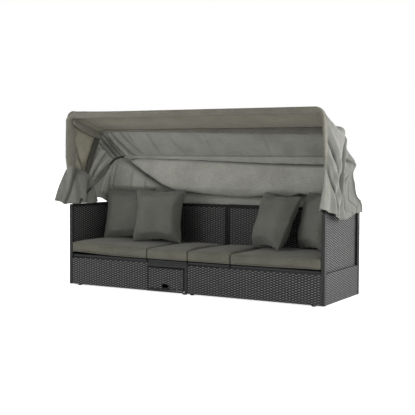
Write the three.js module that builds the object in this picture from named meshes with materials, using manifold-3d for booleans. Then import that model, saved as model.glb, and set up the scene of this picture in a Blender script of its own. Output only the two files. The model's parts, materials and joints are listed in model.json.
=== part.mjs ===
// Outdoor daybed with a folding canopy, in millimetres: +X to the right, +Y to the back, +Z up.
// Two woven base modules stand side by side. Each has a welded tube frame, woven skins, a back wall and one arm.
// The left module holds a drawer. Three hoops fan back from pivots on the arms and carry the canopy cloth.
import * as THREE from "three";
import { mergeVertices } from "three/addons/utils/BufferGeometryUtils.js";
import Module from "manifold-3d";

const wasm = await Module();
wasm.setup();

// Overall sizes
const overallWidth = 2000;
const overallDepth = 600;
const baseHeight = 207;
const armHeight = 588;
const groundClearance = 8;
const moduleGap = 3;

// Fits and small values shared by several pieces
const seatGap = 0.3;
const cutOverrun = 4;
const skinThickness = 8;
const skinEdge = 2;
const skinCorner = 5;
const frameTube = 22;

// Seat division
const centrePadWidth = 327;
const deckSplitGap = 3;
const deckThickness = 20;
const deckEdge = 4;
const deckFrontInset = 4;
const deckSideGap = 2;
const padThickness = 70;
const padCrown = 12;
const padCorner = 30;
const padSideDraw = 5;
const padInset = 2;

// Arms
const armWidth = 26;
const armPostDepth = 22;
const armRailHeight = 22;
const armCorner = 14;
const armPanelThickness = 10;

// Drawer
const drawerWidth = 296;
const drawerRightEdge = 28;
const drawerBottom = 22;
const drawerTop = 174;
const drawerFrontThickness = 14;
const drawerFrontMargin = 2;
const drawerBackSpace = 85.4;
const drawerBoxWall = 6;
const drawerBoxFloor = 24;
const drawerBoxTop = 156;
const drawerBoxInset = 10;
const slotWidth = 60;
const slotHeight = 20;
const slotCentreHeight = 49;
const runnerThickness = 3;
const runnerHeight = 26;
const runnerFlange = 16;

// Glides and fasteners
const glideRadius = 16;
const glideFootRadius = 13;
const glideWaist = 4;
const glideOuterShift = 80;
const glideInnerShift = 30;
const boltShank = 4;
const boltClearance = 0.5;
const boltHeadRadius = 7;
const boltHeadHeight = 4;
const moduleBoltInset = 170;
const threadRunOut = 1;

// Canopy pivots and hoops
const pivotY = 60;
const pivotRise = 20;
const hoopTube = 8;
const hoopCorner = 60;
const hoopEyeReach = 13;
const frontLegInset = 11.5;
const midLegInset = 30;
const rearLegInset = 50;
const frontReach = 636;
const midReach = 582;
const rearReach = 560;
const frontLeanDegrees = -6.4;
const midLeanDegrees = 27.4;
const rearLeanDegrees = 54.8;
const earThickness = 3;
const earWidth = 30;
const bracketFoot = 3;
const bracketLength = 56;
const cornerSteps = 6;

// Canopy cloth
const clothThickness = 2;
const clothGap = 0.3;
const frontEdgeEase = 1.6;
const clothTakeOffDegrees = 30;
const clothSideEase = 6;
const clothBackEase = 12;
const hemDrop = 20;
const clothBackCorner = 16;
const frontEdgeHemY = -40;
const midSeamHemY = 105;
const rearSeamHemY = 170;
const seamHalfGap = 2;
const roofSag = 14;
const sideFoldDepth = 12;
const backFoldDepth = 9;
const sideRows = 5;
const arcRows = cornerSteps;
const roofRows = 3;
const legBendShare = 0.3;
const frontGoreFolds = 3;
const rearGoreFolds = 2;
const backFolds = 1.5;

// Throw pillows
const pillowSide = 374;
const pillowThickness = 124;
const pillowSideDraw = 13;
const pillowRest = 0.6;
const pillowRingShares = [
  { spread: 0.45, swell: -0.93 },
  { spread: 0.72, swell: -0.72 },
  { spread: 0.9, swell: -0.36 },
  { spread: 1, swell: 0 },
  { spread: 0.9, swell: 0.36 },
  { spread: 0.72, swell: 0.72 },
  { spread: 0.45, swell: 0.93 },
];
const pillowCornerShare = 0.09;

// Pad outlines from the bottom up
const padRingShares = [
  { spread: 0.97, rise: 0, crown: 0 },
  { spread: 1, rise: 0.12, crown: 0 },
  { spread: 0.992, rise: 0.5, crown: 0 },
  { spread: 1, rise: 0.88, crown: 0 },
  { spread: 0.97, rise: 1, crown: 0 },
  { spread: 0.8, rise: 1, crown: 0.62 },
  { spread: 0.42, rise: 1, crown: 0.95 },
];

// Each pillow's middle across and along the seat.
const pillowPlaceShares = {
  left_back_pillow: { across: -0.745, back: 0.733 },
  left_front_pillow: { across: -0.46, back: 0.6 },
  right_front_pillow: { across: 0.46, back: 0.62 },
  right_back_pillow: { across: 0.768, back: 0.61 },
};

// Its turn about Z and its lean back, in degrees.
const pillowDegrees = {
  left_back_pillow: { turn: 25, lean: 13 },
  left_front_pillow: { turn: 9, lean: 7 },
  right_front_pillow: { turn: -32, lean: 16 },
  right_back_pillow: { turn: -38, lean: 12 },
};

const halfWidth = overallWidth / 2;
const halfGap = moduleGap / 2;
const deckLevel = baseHeight + seatGap;
const padLevel = deckLevel + deckThickness + seatGap;
const wallOuterY = overallDepth - skinThickness - seatGap;
const wallInnerY = wallOuterY - frameTube - seatGap - skinThickness;
const innerArmX = halfWidth - armWidth;
const drawerBoxDepth = wallOuterY - frameTube - drawerFrontThickness - seatGap - drawerBackSpace;
const pivotHeight = armHeight + pivotRise;
const frontLegX = halfWidth - frontLegInset;
const midLegX = halfWidth - midLegInset;
const rearLegX = halfWidth - rearLegInset;
const clothSideX = halfWidth + clothSideEase;
const clothBackY = overallDepth + clothBackEase;
const hemHeight = armHeight - hemDrop;
const radians = THREE.MathUtils.degToRad;

const wicker = { color: 0x3b3d3e, roughness: 0.62, metalness: 0 };
const frameCoat = { color: 0x2c2e30, roughness: 0.45, metalness: 0.3 };
const hoopCoat = { color: 0x35373a, roughness: 0.4, metalness: 0.4 };
const padCloth = { color: 0x76776c, roughness: 0.95, metalness: 0 };
const pillowCloth = { color: 0x5e615a, roughness: 0.95, metalness: 0 };
const canopyCloth = { color: 0x83857a, roughness: 0.95, metalness: 0 };
const steel = { color: 0x9a9c9e, roughness: 0.35, metalness: 0.9 };
const moulded = { color: 0x1c1d1e, roughness: 0.6, metalness: 0 };

// One named sub-part with a material of its own.
function part(name, geometry, finish) {
  const mesh = new THREE.Mesh(geometry, new THREE.MeshStandardMaterial(finish));
  mesh.name = name;
  return mesh;
}

// A closed geometry as a solid for cutting and joining.
function solid(geometry) {
  const bare = geometry.index ? geometry.toNonIndexed() : geometry.clone();
  for (const name of Object.keys(bare.attributes)) {
    if (name !== "position") bare.deleteAttribute(name);
  }
  const merged = mergeVertices(bare);
  return new wasm.Manifold(
    new wasm.Mesh({
      numProp: 3,
      vertProperties: new Float32Array(merged.attributes.position.array),
      triVerts: new Uint32Array(merged.index.array),
    }),
  );
}

// A solid as a geometry again.
function geometryOf(body) {
  const mesh = body.getMesh();
  const geometry = new THREE.BufferGeometry();
  geometry.setAttribute("position", new THREE.BufferAttribute(new Float32Array(mesh.vertProperties), 3));
  geometry.setIndex(new THREE.BufferAttribute(new Uint32Array(mesh.triVerts), 1));
  geometry.computeVertexNormals();
  return geometry;
}

function joined(geometries) {
  const bodies = geometries.map(solid);
  return geometryOf(bodies.reduce((whole, body) => whole.add(body)));
}

function cut(geometry, tools) {
  return geometryOf(tools.reduce((whole, tool) => whole.subtract(solid(tool)), solid(geometry)));
}

// A rectangle with rounded corners, from its lowest corner.
function roundedOutline(width, height, corner) {
  const shape = new THREE.Shape();
  shape.moveTo(corner, 0);
  shape.lineTo(width - corner, 0);
  shape.absarc(width - corner, corner, corner, -Math.PI / 2, 0);
  shape.lineTo(width, height - corner);
  shape.absarc(width - corner, height - corner, corner, 0, Math.PI / 2);
  shape.lineTo(corner, height);
  shape.absarc(corner, height - corner, corner, Math.PI / 2, Math.PI);
  shape.lineTo(0, corner);
  shape.absarc(corner, corner, corner, Math.PI, Math.PI * 1.5);
  return shape;
}

// A square bar between two corners of the space that it fills.
function member(low, high) {
  const [width, depth, height] = high.map((end, axis) => end - low[axis]);
  const geometry = new THREE.BoxGeometry(width, depth, height);
  return geometry.translate(low[0] + width / 2, low[1] + depth / 2, low[2] + height / 2);
}

// A plate standing across Y, with eased edges, from its lowest corner.
function standingPlate(width, height, thickness, edge, corner) {
  const outline = roundedOutline(width - 2 * edge, height - 2 * edge, corner);
  const options = {
    depth: thickness - 2 * edge,
    bevelThickness: edge,
    bevelSize: edge,
    bevelSegments: 1,
    curveSegments: 1,
  };
  const geometry = new THREE.ExtrudeGeometry(outline, options);
  return geometry.rotateX(Math.PI / 2).translate(edge, thickness - edge, edge);
}

// The same plate standing across X.
function sidePlate(depth, height, thickness, edge, corner) {
  const plate = standingPlate(depth, height, thickness, edge, corner);
  return plate.rotateZ(Math.PI / 2).translate(thickness, 0, 0);
}

// The same plate lying flat.
function flatPlate(width, depth, thickness, edge, corner) {
  const plate = standingPlate(width, depth, thickness, edge, corner);
  return plate.rotateX(-Math.PI / 2).translate(0, 0, thickness);
}

// Turns a right-hand piece into the left-hand one.
function mirrored(geometry) {
  const flipped = geometry.index ? geometry.toNonIndexed() : geometry;
  flipped.scale(-1, 1, 1);
  const position = flipped.attributes.position;
  for (let corner = 0; corner < position.count; corner += 3) {
    const second = new THREE.Vector3().fromBufferAttribute(position, corner + 1);
    const third = new THREE.Vector3().fromBufferAttribute(position, corner + 2);
    position.setXYZ(corner + 1, ...third);
    position.setXYZ(corner + 2, ...second);
  }
  flipped.computeVertexNormals();
  return flipped;
}

function onSide(side, geometry) {
  return side === "left" ? mirrored(geometry) : geometry;
}

// A round bar along X.
function crossPin(radius, low, high, sides) {
  const pin = new THREE.CylinderGeometry(radius, radius, high - low, sides);
  return pin.rotateZ(Math.PI / 2).translate((low + high) / 2, 0, 0);
}

// The welded frame of one module, drawn for the right: base posts and rails, the back wall's posts and its rail.
const drawerLeftX = drawerRightEdge + drawerWidth;
const bayPostInner = drawerLeftX + drawerFrontMargin + seatGap;
const frameFrontY = skinThickness + seatGap;
const frameSideX = halfWidth - skinThickness - seatGap;

function moduleFrame(side) {
  const hasDrawer = side === "left";
  const left = halfGap;
  const right = frameSideX;
  const back = wallOuterY;
  const topRail = baseHeight - frameTube;
  const underside = groundClearance;
  const lowRail = groundClearance + frameTube;
  const wallPostX = halfWidth - frameTube;
  const splitRail = centrePadWidth - frameTube / 2;
  const members = [
    member([left, frameFrontY, underside], [left + frameTube, frameFrontY + frameTube, baseHeight]),
    member([right - frameTube, frameFrontY, underside], [right, frameFrontY + frameTube, baseHeight]),
    member([left, back - frameTube, underside], [left + frameTube, back, armHeight]),
    member([wallPostX, back - frameTube, underside], [halfWidth, back, armHeight]),
    member([left, frameFrontY, topRail], [right, frameFrontY + frameTube, baseHeight]),
    member([left, back - frameTube, topRail], [halfWidth, back, baseHeight]),
    member([left, back - frameTube, underside], [halfWidth, back, lowRail]),
    member([left, frameFrontY, topRail], [left + frameTube, back, baseHeight]),
    member([left, frameFrontY, underside], [left + frameTube, back, lowRail]),
    member([right - frameTube, frameFrontY, topRail], [right, back, baseHeight]),
    member([right - frameTube, frameFrontY, underside], [right, back, lowRail]),
    member([splitRail, frameFrontY, topRail], [splitRail + frameTube, back, baseHeight]),
    member([left, back - frameTube, armHeight - frameTube], [halfWidth, back, armHeight]),
  ];
  const lowFrontStart = hasDrawer ? bayPostInner : left;
  members.push(member([lowFrontStart, frameFrontY, underside], [right, frameFrontY + frameTube, lowRail]));
  if (hasDrawer) {
    const bayOuter = bayPostInner + frameTube;
    members.push(member([bayPostInner, frameFrontY, underside], [bayOuter, frameFrontY + frameTube, baseHeight]));
    members.push(member([bayPostInner, frameFrontY, underside], [bayOuter, back, lowRail]));
  }
  const boltHoles = moduleBoltPlaces().map((y) => {
    const hole = crossPin(boltShank + boltClearance, -cutOverrun, left + frameTube + cutOverrun, 12);
    return hole.translate(0, y, topRail + frameTube / 2);
  });
  return part(side + "_frame", onSide(side, cut(joined(members), boltHoles)), frameCoat);
}

function moduleBoltPlaces() {
  return [moduleBoltInset, overallDepth - moduleBoltInset];
}

// Woven skins, drawn for the right. The front one of the left module is cut open for the drawer.
function frontWeave(side) {
  const width = halfWidth - halfGap;
  const height = baseHeight - groundClearance;
  const plate = standingPlate(width, height, skinThickness, skinEdge, skinCorner);
  plate.translate(halfGap, 0, groundClearance);
  if (side === "right") return part("right_front_weave", plate, wicker);
  const start = drawerRightEdge - drawerFrontMargin;
  const opening = member(
    [start, -cutOverrun, groundClearance - cutOverrun],
    [start + drawerWidth + 2 * drawerFrontMargin, skinThickness + cutOverrun, drawerTop + drawerFrontMargin],
  );
  return part("left_front_weave", onSide(side, cut(plate, [opening])), wicker);
}

function sideWeave(side) {
  const depth = wallOuterY - frameTube - 2 * seatGap - skinThickness;
  const height = baseHeight - groundClearance;
  const plate = sidePlate(depth, height, skinThickness, skinEdge, skinCorner);
  plate.translate(halfWidth - skinThickness, skinThickness + seatGap, groundClearance);
  return part(side + "_side_weave", onSide(side, plate), wicker);
}

function backWeave(side) {
  const height = armHeight - groundClearance;
  const plate = standingPlate(halfWidth - halfGap, height, skinThickness, skinEdge, skinCorner);
  plate.translate(halfGap, overallDepth - skinThickness, groundClearance);
  return part(side + "_back_weave", onSide(side, plate), wicker);
}

function backrestWeave(side) {
  const height = armHeight - deckLevel;
  const plate = standingPlate(halfWidth - halfGap, height, skinThickness, skinEdge, skinCorner);
  plate.translate(halfGap, wallInnerY, deckLevel);
  return part(side + "_backrest_weave", onSide(side, plate), wicker);
}

// The arm: a bent rail on a front post, standing on the base, with a thinner panel flush with its inner face.
function armFrame(side) {
  const length = wallInnerY - seatGap;
  const height = armHeight - deckLevel;
  const outline = new THREE.Shape();
  outline.moveTo(0, 0);
  outline.lineTo(armPostDepth, 0);
  outline.lineTo(armPostDepth, height - armRailHeight);
  outline.lineTo(length, height - armRailHeight);
  outline.lineTo(length, height);
  outline.lineTo(armCorner, height);
  outline.absarc(armCorner, height - armCorner, armCorner, Math.PI / 2, Math.PI);
  outline.lineTo(0, 0);
  const options = { depth: armWidth, bevelEnabled: false, curveSegments: 4 };
  const geometry = new THREE.ExtrudeGeometry(outline, options);
  geometry.rotateX(Math.PI / 2).rotateZ(Math.PI / 2);
  geometry.translate(innerArmX, 0, deckLevel);
  return part(side + "_arm_frame", onSide(side, geometry), wicker);
}

function armWeave(side) {
  const depth = wallInnerY - armPostDepth - 2 * seatGap;
  const height = armHeight - armRailHeight - seatGap - deckLevel;
  const plate = sidePlate(depth, height, armPanelThickness, skinEdge, skinCorner);
  plate.translate(innerArmX, armPostDepth + seatGap, deckLevel);
  return part(side + "_arm_weave", onSide(side, plate), wicker);
}

// Where each deck and pad lies across the right half.
function deckSpan(place) {
  const split = deckSplitGap / 2;
  const spans = {
    centre: [halfGap, centrePadWidth - split],
    wide: [centrePadWidth + split, innerArmX - deckSideGap],
  };
  return spans[place];
}

function seatDeck(side, place) {
  const [low, high] = deckSpan(place);
  const depth = wallInnerY - seatGap - deckFrontInset;
  const plate = flatPlate(high - low, depth, deckThickness, deckEdge, skinCorner);
  plate.translate(low, deckFrontInset, deckLevel);
  return part(side + "_" + place + "_deck", onSide(side, plate), wicker);
}

// A closed body of stacked outlines round the Z axis, from a bottom point to a top point.
function ringBody(outlinePoints, rings, bottom, top) {
  const positions = [0, 0, bottom];
  for (const ring of rings) {
    for (const point of outlinePoints(ring)) positions.push(...point);
  }
  positions.push(0, 0, top);
  const count = (positions.length / 3 - 2) / rings.length;
  const last = positions.length / 3 - 1;
  const faces = [];
  for (let i = 0; i < count; i += 1) {
    const next = (i + 1) % count;
    faces.push(0, 1 + next, 1 + i);
    for (let ring = 0; ring < rings.length - 1; ring += 1) {
      const low = 1 + ring * count;
      const high = low + count;
      faces.push(low + i, low + next, high + next, low + i, high + next, high + i);
    }
    faces.push(last, last - count + i, last - count + next);
  }
  const geometry = new THREE.BufferGeometry();
  geometry.setAttribute("position", new THREE.Float32BufferAttribute(positions, 3));
  geometry.setIndex(faces);
  geometry.computeVertexNormals();
  return geometry;
}

// Points round a rounded rectangle of half sizes a and b whose sides are drawn in between the corners.
function drawnOutline(a, b, corner, draw, perCorner, perSide) {
  const points = [];
  const quadrants = [[1, 1], [-1, 1], [-1, -1], [1, -1]];
  quadrants.forEach(([sx, sy], quadrant) => {
    for (let i = 0; i <= perCorner; i += 1) {
      const angle = ((quadrant + i / perCorner) * Math.PI) / 2;
      points.push([sx * (a - corner) + corner * Math.cos(angle), sy * (b - corner) + corner * Math.sin(angle)]);
    }
    const alongX = quadrant % 2 === 0;
    for (let i = 1; i < perSide; i += 1) {
      const step = 1 - (2 * i) / perSide;
      points.push(alongX ? [sx * step * (a - corner), sy * b] : [sx * a, sy * step * (b - corner)]);
    }
  });
  return points.map(([x, y]) => [
    x - Math.sign(x) * draw * (1 - (y / b) ** 2) * (x / a) ** 2,
    y - Math.sign(y) * draw * (1 - (x / a) ** 2) * (y / b) ** 2,
  ]);
}

// A seat pad: flat below, upright sides drawn in at mid height, and a crowned top.
function padGeometry(width, depth) {
  const outline = (ring) => {
    const spread = ring.spread;
    const points = drawnOutline(width / 2, depth / 2, padCorner, padSideDraw, 3, 5);
    return points.map(([x, y]) => [x * spread, y * spread, ring.rise * padThickness + ring.crown * padCrown]);
  };
  return ringBody(outline, padRingShares, 0, padThickness + padCrown);
}

function seatPad(side, place) {
  const [low, high] = deckSpan(place);
  const width = high - low - 2 * padInset;
  const depth = wallInnerY - seatGap - deckFrontInset - 2 * padInset;
  const geometry = padGeometry(width, depth);
  geometry.translate((low + high) / 2, deckFrontInset + padInset + depth / 2, padLevel);
  return part(side + "_" + place + "_pad", onSide(side, geometry), padCloth);
}

// A throw pillow standing on one edge: thick in the middle, thin at its drawn-in seam.
function pillowGeometry() {
  const half = pillowSide / 2;
  const thick = pillowThickness / 2;
  const outline = (ring) => {
    const draw = pillowSideDraw * ring.spread ** 4;
    const points = drawnOutline(half, half, pillowSide * pillowCornerShare, draw, 3, 6);
    return points.map(([x, y]) => [x * ring.spread, y * ring.spread, ring.swell * thick]);
  };
  return ringBody(outline, pillowRingShares, -thick, thick).rotateX(Math.PI / 2);
}

// The height of the crowned pads over a place on the seat.
function padTopAt(x, y) {
  const place = Math.abs(x) > centrePadWidth ? "wide" : "centre";
  const [low, high] = deckSpan(place);
  const halfDepth = (wallInnerY - seatGap - deckFrontInset) / 2 - padInset;
  const besideX = Math.abs(Math.abs(x) - (low + high) / 2) / ((high - low) / 2 - padInset);
  const besideY = Math.abs(y - deckFrontInset - padInset - halfDepth) / halfDepth;
  const spread = Math.min(Math.max(besideX, besideY), 1);
  const rings = [...padRingShares.slice(-3), { spread: 0, crown: 1 }];
  const outer = rings.findLastIndex((ring, index) => ring.spread >= spread && index < rings.length - 1);
  if (outer < 0) return padLevel + padThickness;
  const [from, to] = [rings[outer], rings[outer + 1]];
  const step = (from.spread - spread) / (from.spread - to.spread);
  return padLevel + padThickness + padCrown * (from.crown + step * (to.crown - from.crown));
}

// Stands a pillow on the pads: it comes down until its lowest place is just clear of them.
function pillow(name) {
  const { turn, lean } = pillowDegrees[name];
  const { across, back } = pillowPlaceShares[name];
  const geometry = pillowGeometry().rotateX(-radians(lean)).rotateZ(radians(turn));
  geometry.translate(across * halfWidth, back * overallDepth, 0);
  const position = geometry.attributes.position;
  let drop = Infinity;
  for (let i = 0; i < position.count; i += 1) {
    const top = padTopAt(position.getX(i), position.getY(i));
    drop = Math.min(drop, position.getZ(i) - top);
  }
  return part(name, geometry.translate(0, 0, pillowRest - drop), pillowCloth);
}

// The drawer: a woven front with a finger slot, and a box behind it on two angle runners.
function drawerFront() {
  const height = drawerTop - drawerBottom;
  const plate = standingPlate(drawerWidth, height, drawerFrontThickness, skinEdge, skinCorner);
  const slot = new THREE.ExtrudeGeometry(roundedOutline(slotWidth, slotHeight, skinCorner), {
    depth: drawerFrontThickness + 2 * cutOverrun,
    bevelEnabled: false,
    curveSegments: 3,
  });
  slot.rotateX(Math.PI / 2);
  slot.translate(
    (drawerWidth - slotWidth) / 2,
    drawerFrontThickness + cutOverrun,
    slotCentreHeight - drawerBottom - slotHeight / 2,
  );
  const geometry = cut(plate, [slot]);
  geometry.translate(-drawerRightEdge - drawerWidth, 0, drawerBottom);
  return part("drawer_front", geometry, wicker);
}

function drawerBox() {
  const width = drawerWidth - 2 * drawerBoxInset;
  const height = drawerBoxTop - drawerBoxFloor;
  const inside = width - 2 * drawerBoxWall;
  const outer = member([0, 0, 0], [width, drawerBoxDepth, height]);
  const hollow = member(
    [drawerBoxWall, -cutOverrun, drawerBoxWall],
    [drawerBoxWall + inside, drawerBoxDepth - drawerBoxWall, height + cutOverrun],
  );
  const geometry = cut(outer, [hollow]);
  const left = -drawerRightEdge - drawerWidth + drawerBoxInset;
  geometry.translate(left, drawerFrontThickness + seatGap, drawerBoxFloor);
  return part("drawer_box", geometry, moulded);
}

// An angle runner: one leg on a low rail's face, the other under the edge of the drawer box.
function runner(name, railX, towards) {
  const flange = Math.abs(towards - railX) - seatGap + runnerFlange;
  const outline = new THREE.Shape();
  outline.moveTo(0, 0);
  outline.lineTo(flange, 0);
  outline.lineTo(flange, runnerThickness);
  outline.lineTo(runnerThickness, runnerThickness);
  outline.lineTo(runnerThickness, runnerHeight);
  outline.lineTo(0, runnerHeight);
  outline.lineTo(0, 0);
  const geometry = new THREE.ExtrudeGeometry(outline, { depth: drawerBoxDepth, bevelEnabled: false });
  geometry.rotateX(Math.PI / 2).translate(0, drawerBoxDepth, 0);
  const turned = towards < railX ? mirrored(geometry) : geometry;
  const seat = towards < railX ? railX - seatGap : railX + seatGap;
  turned.translate(seat, drawerFrontThickness + seatGap, drawerBoxFloor - runnerThickness - seatGap);
  return part(name, turned, steel);
}

// A moulded glide under the frame.
function glide(name, x, y) {
  const height = groundClearance - seatGap;
  const profile = [
    new THREE.Vector2(0, 0),
    new THREE.Vector2(glideFootRadius, 0),
    new THREE.Vector2(glideRadius, glideWaist),
    new THREE.Vector2(glideRadius, height),
    new THREE.Vector2(0, height),
  ];
  const geometry = new THREE.LatheGeometry(profile, 16).rotateX(Math.PI / 2);
  geometry.translate(x, y, 0);
  return part(name, geometry, moulded);
}

function glides() {
  const rows = { front: frameFrontY + frameTube / 2, back: wallOuterY - frameTube / 2 };
  const columns = {
    left_outer: glideOuterShift - halfWidth,
    left_inner: -glideInnerShift,
    right_inner: glideInnerShift,
    right_outer: halfWidth - glideOuterShift,
  };
  const places = Object.entries(columns).flatMap(([column, x]) =>
    Object.entries(rows).map(([row, y]) => [column + "_" + row + "_glide", x, y]),
  );
  return places.map(([name, x, y]) => glide(name, x, y));
}

// A bolt along X with a hexagonal head at its high end and a nut at its low end.
function crossBolt(name, low, high) {
  const shank = crossPin(boltShank, low, high, 12);
  const head = crossPin(boltHeadRadius, high, high + boltHeadHeight, 6);
  const nut = crossPin(boltHeadRadius, low - threadRunOut, low + boltHeadHeight - threadRunOut, 6);
  return part(name, joined([shank, head, nut]), steel);
}

function moduleBolts() {
  const reach = halfGap + frameTube + boltHeadHeight - threadRunOut + seatGap;
  return moduleBoltPlaces().map((y, index) => {
    const bolt = crossBolt(["front", "back"][index] + "_module_bolt", -reach, reach - boltHeadHeight + threadRunOut);
    bolt.position.set(0, y, baseHeight - frameTube / 2);
    return bolt;
  });
}

// The pivot: a bracket on the arm whose ear stands between the mid and the rear hoop, and one bolt through all.
const earX = (midLegX + rearLegX) / 2;

function pivotBracket(side) {
  const foot = armHeight + seatGap;
  const outline = new THREE.Shape();
  outline.moveTo(-earWidth / 2, foot);
  outline.lineTo(earWidth / 2, foot);
  outline.lineTo(earWidth / 2, pivotHeight);
  outline.absarc(0, pivotHeight, earWidth / 2, 0, Math.PI);
  outline.lineTo(-earWidth / 2, foot);
  const ear = new THREE.ExtrudeGeometry(outline, { depth: earThickness, bevelEnabled: false, curveSegments: 8 });
  ear.rotateX(Math.PI / 2).rotateZ(Math.PI / 2).translate(earX - earThickness / 2, pivotY, 0);
  const low = earX - earThickness / 2;
  const plate = flatPlate(halfWidth - low, bracketLength, bracketFoot, earThickness / 4, earThickness);
  plate.translate(low, pivotY - bracketLength / 2, foot);
  const hole = crossPin(boltShank + boltClearance, low - cutOverrun, low + earThickness + cutOverrun, 16);
  hole.translate(0, pivotY, pivotHeight);
  const geometry = cut(joined([ear, plate]), [hole]);
  return part(side + "_pivot_bracket", onSide(side, geometry), frameCoat);
}

function pivotBolt(side) {
  const low = rearLegX - hoopTube - seatGap;
  const high = frontLegX + hoopTube + seatGap;
  const bolt = crossBolt(side + "_pivot_bolt", low - boltHeadHeight + threadRunOut, high);
  bolt.geometry.translate(0, pivotY, pivotHeight);
  bolt.geometry = onSide(side, bolt.geometry);
  return bolt;
}

// Spacer washers fill the stack between the front and the mid leg.
function pivotWasher(side) {
  const low = midLegX + hoopTube + seatGap;
  const high = frontLegX - hoopTube - seatGap;
  const ring = crossPin(boltHeadRadius, low, high, 16);
  const hole = crossPin(boltShank + boltClearance, low - cutOverrun, high + cutOverrun, 16);
  const geometry = cut(ring, [hole]).translate(0, pivotY, pivotHeight);
  return part(side + "_pivot_washer", onSide(side, geometry), moulded);
}

// The route of a hoop in its own plane: up one leg, round two corners and down the other.
class HoopRoute extends THREE.Curve {
  constructor(legX, reach) {
    super();
    const stations = [[legX, -hoopEyeReach]];
    for (let i = 0; i <= cornerSteps; i += 1) {
      const angle = (i / cornerSteps) * (Math.PI / 2);
      stations.push([
        legX - hoopCorner + hoopCorner * Math.cos(angle),
        reach - hoopCorner + hoopCorner * Math.sin(angle),
      ]);
    }
    const back = stations.map(([x, z]) => [-x, z]).reverse();
    this.stations = [...stations, ...back].map(([x, z]) => new THREE.Vector3(x, 0, z));
  }

  get steps() {
    return this.stations.length - 1;
  }

  getUtoTmapping(u) {
    return u;
  }

  getPoint(t) {
    const place = Math.min(Math.max(t, 0), 1) * this.steps;
    const index = Math.min(Math.floor(place), this.steps - 1);
    return this.stations[index].clone().lerp(this.stations[index + 1], place - index);
  }
}

function hoop(name, legX, reach, leanDegrees) {
  const route = new HoopRoute(legX, reach);
  const section = new THREE.Shape();
  section.absarc(0, 0, hoopTube, 0, Math.PI * 2);
  const options = { steps: route.steps, extrudePath: route, curveSegments: 5 };
  const tube = new THREE.ExtrudeGeometry(section, options);
  const holeEnd = legX + hoopTube + cutOverrun;
  const hole = crossPin(boltShank + boltClearance, -holeEnd, holeEnd, 16);
  const mesh = part(name, cut(tube, [hole]), hoopCoat);
  mesh.position.set(0, pivotY, pivotHeight);
  mesh.rotation.x = -radians(leanDegrees);
  return mesh;
}

// The cloth. Each gore is a sheet between two U-shaped edges that run from the left hem over the roof to the right.
// Stations from the right hem to the middle of the roof, and on to the left.
function edgeStations() {
  const half = [];
  for (let i = 0; i < sideRows; i += 1) half.push({ zone: "side", share: i / sideRows });
  for (let i = 0; i < arcRows; i += 1) half.push({ zone: "corner", share: i / arcRows });
  for (let i = 0; i < roofRows; i += 1) half.push({ zone: "roof", share: i / roofRows });
  const right = half.map((station) => ({ ...station, sign: 1 }));
  const left = half.map((station) => ({ ...station, sign: -1 })).reverse();
  return [...right, { zone: "roof", share: 1, sign: 1 }, ...left];
}

// An edge that follows a hoop: over its tube, round the corners, then down the leg and on to the hem.
// towards is 1 for the edge of the gore behind the hoop and -1 for the one in front.
function hoopEdge({ legX, reach, leanDegrees, hemY, ease, plumb }, towards) {
  const clothOffset = hoopTube + clothGap + ease + clothThickness / 2;
  const lean = radians(leanDegrees);
  const takeOff = radians(clothTakeOffDegrees);
  const radial = clothOffset * Math.cos(takeOff);
  const tangential = towards * clothOffset * Math.sin(takeOff);
  const inPlane = (x, r, t) => {
    const y = pivotY + r * Math.sin(lean) + t * Math.cos(lean);
    return new THREE.Vector3(x, y, pivotHeight + r * Math.cos(lean) - t * Math.sin(lean));
  };
  const outerRadius = hoopCorner + radial;
  const cornerX = legX - hoopCorner;
  const cornerReach = reach - hoopCorner;
  const legTop = inPlane(legX + radial, cornerReach, tangential);
  const hem = new THREE.Vector3(clothSideX, hemY + towards * seamHalfGap, hemHeight);
  const onLeg = inPlane(clothSideX, cornerReach * legBendShare, tangential);
  const above = new THREE.Vector3(clothSideX, legTop.y, pivotHeight);
  const fall = new THREE.QuadraticBezierCurve3(hem, plumb ? above : onLeg, legTop);
  return ({ zone, share, sign }) => {
    let point;
    if (zone === "side") point = fall.getPoint(share);
    if (zone === "corner") {
      const angle = (share * Math.PI) / 2;
      point = inPlane(
        cornerX + outerRadius * Math.cos(angle),
        cornerReach + outerRadius * Math.sin(angle),
        tangential,
      );
    }
    if (zone === "roof") point = inPlane(cornerX * (1 - share), reach + radial, tangential);
    point.x *= sign;
    return point;
  };
}

// The outer hem: along the arm, round the back corner and along the back wall.
function hemEdge({ zone, share, sign }) {
  const cornerY = clothBackY - clothBackCorner;
  const cornerX = clothSideX - clothBackCorner;
  const angle = (share * Math.PI) / 2;
  const point = new THREE.Vector3(clothSideX, 0, hemHeight);
  if (zone === "side") point.y = rearSeamHemY + seamHalfGap + share * (cornerY - rearSeamHemY - seamHalfGap);
  if (zone === "corner") {
    point.x = cornerX + clothBackCorner * Math.cos(angle);
    point.y = cornerY + clothBackCorner * Math.sin(angle);
  }
  if (zone === "roof") {
    point.x = cornerX * (1 - share);
    point.y = clothBackY;
  }
  point.x *= sign;
  return point;
}

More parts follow.
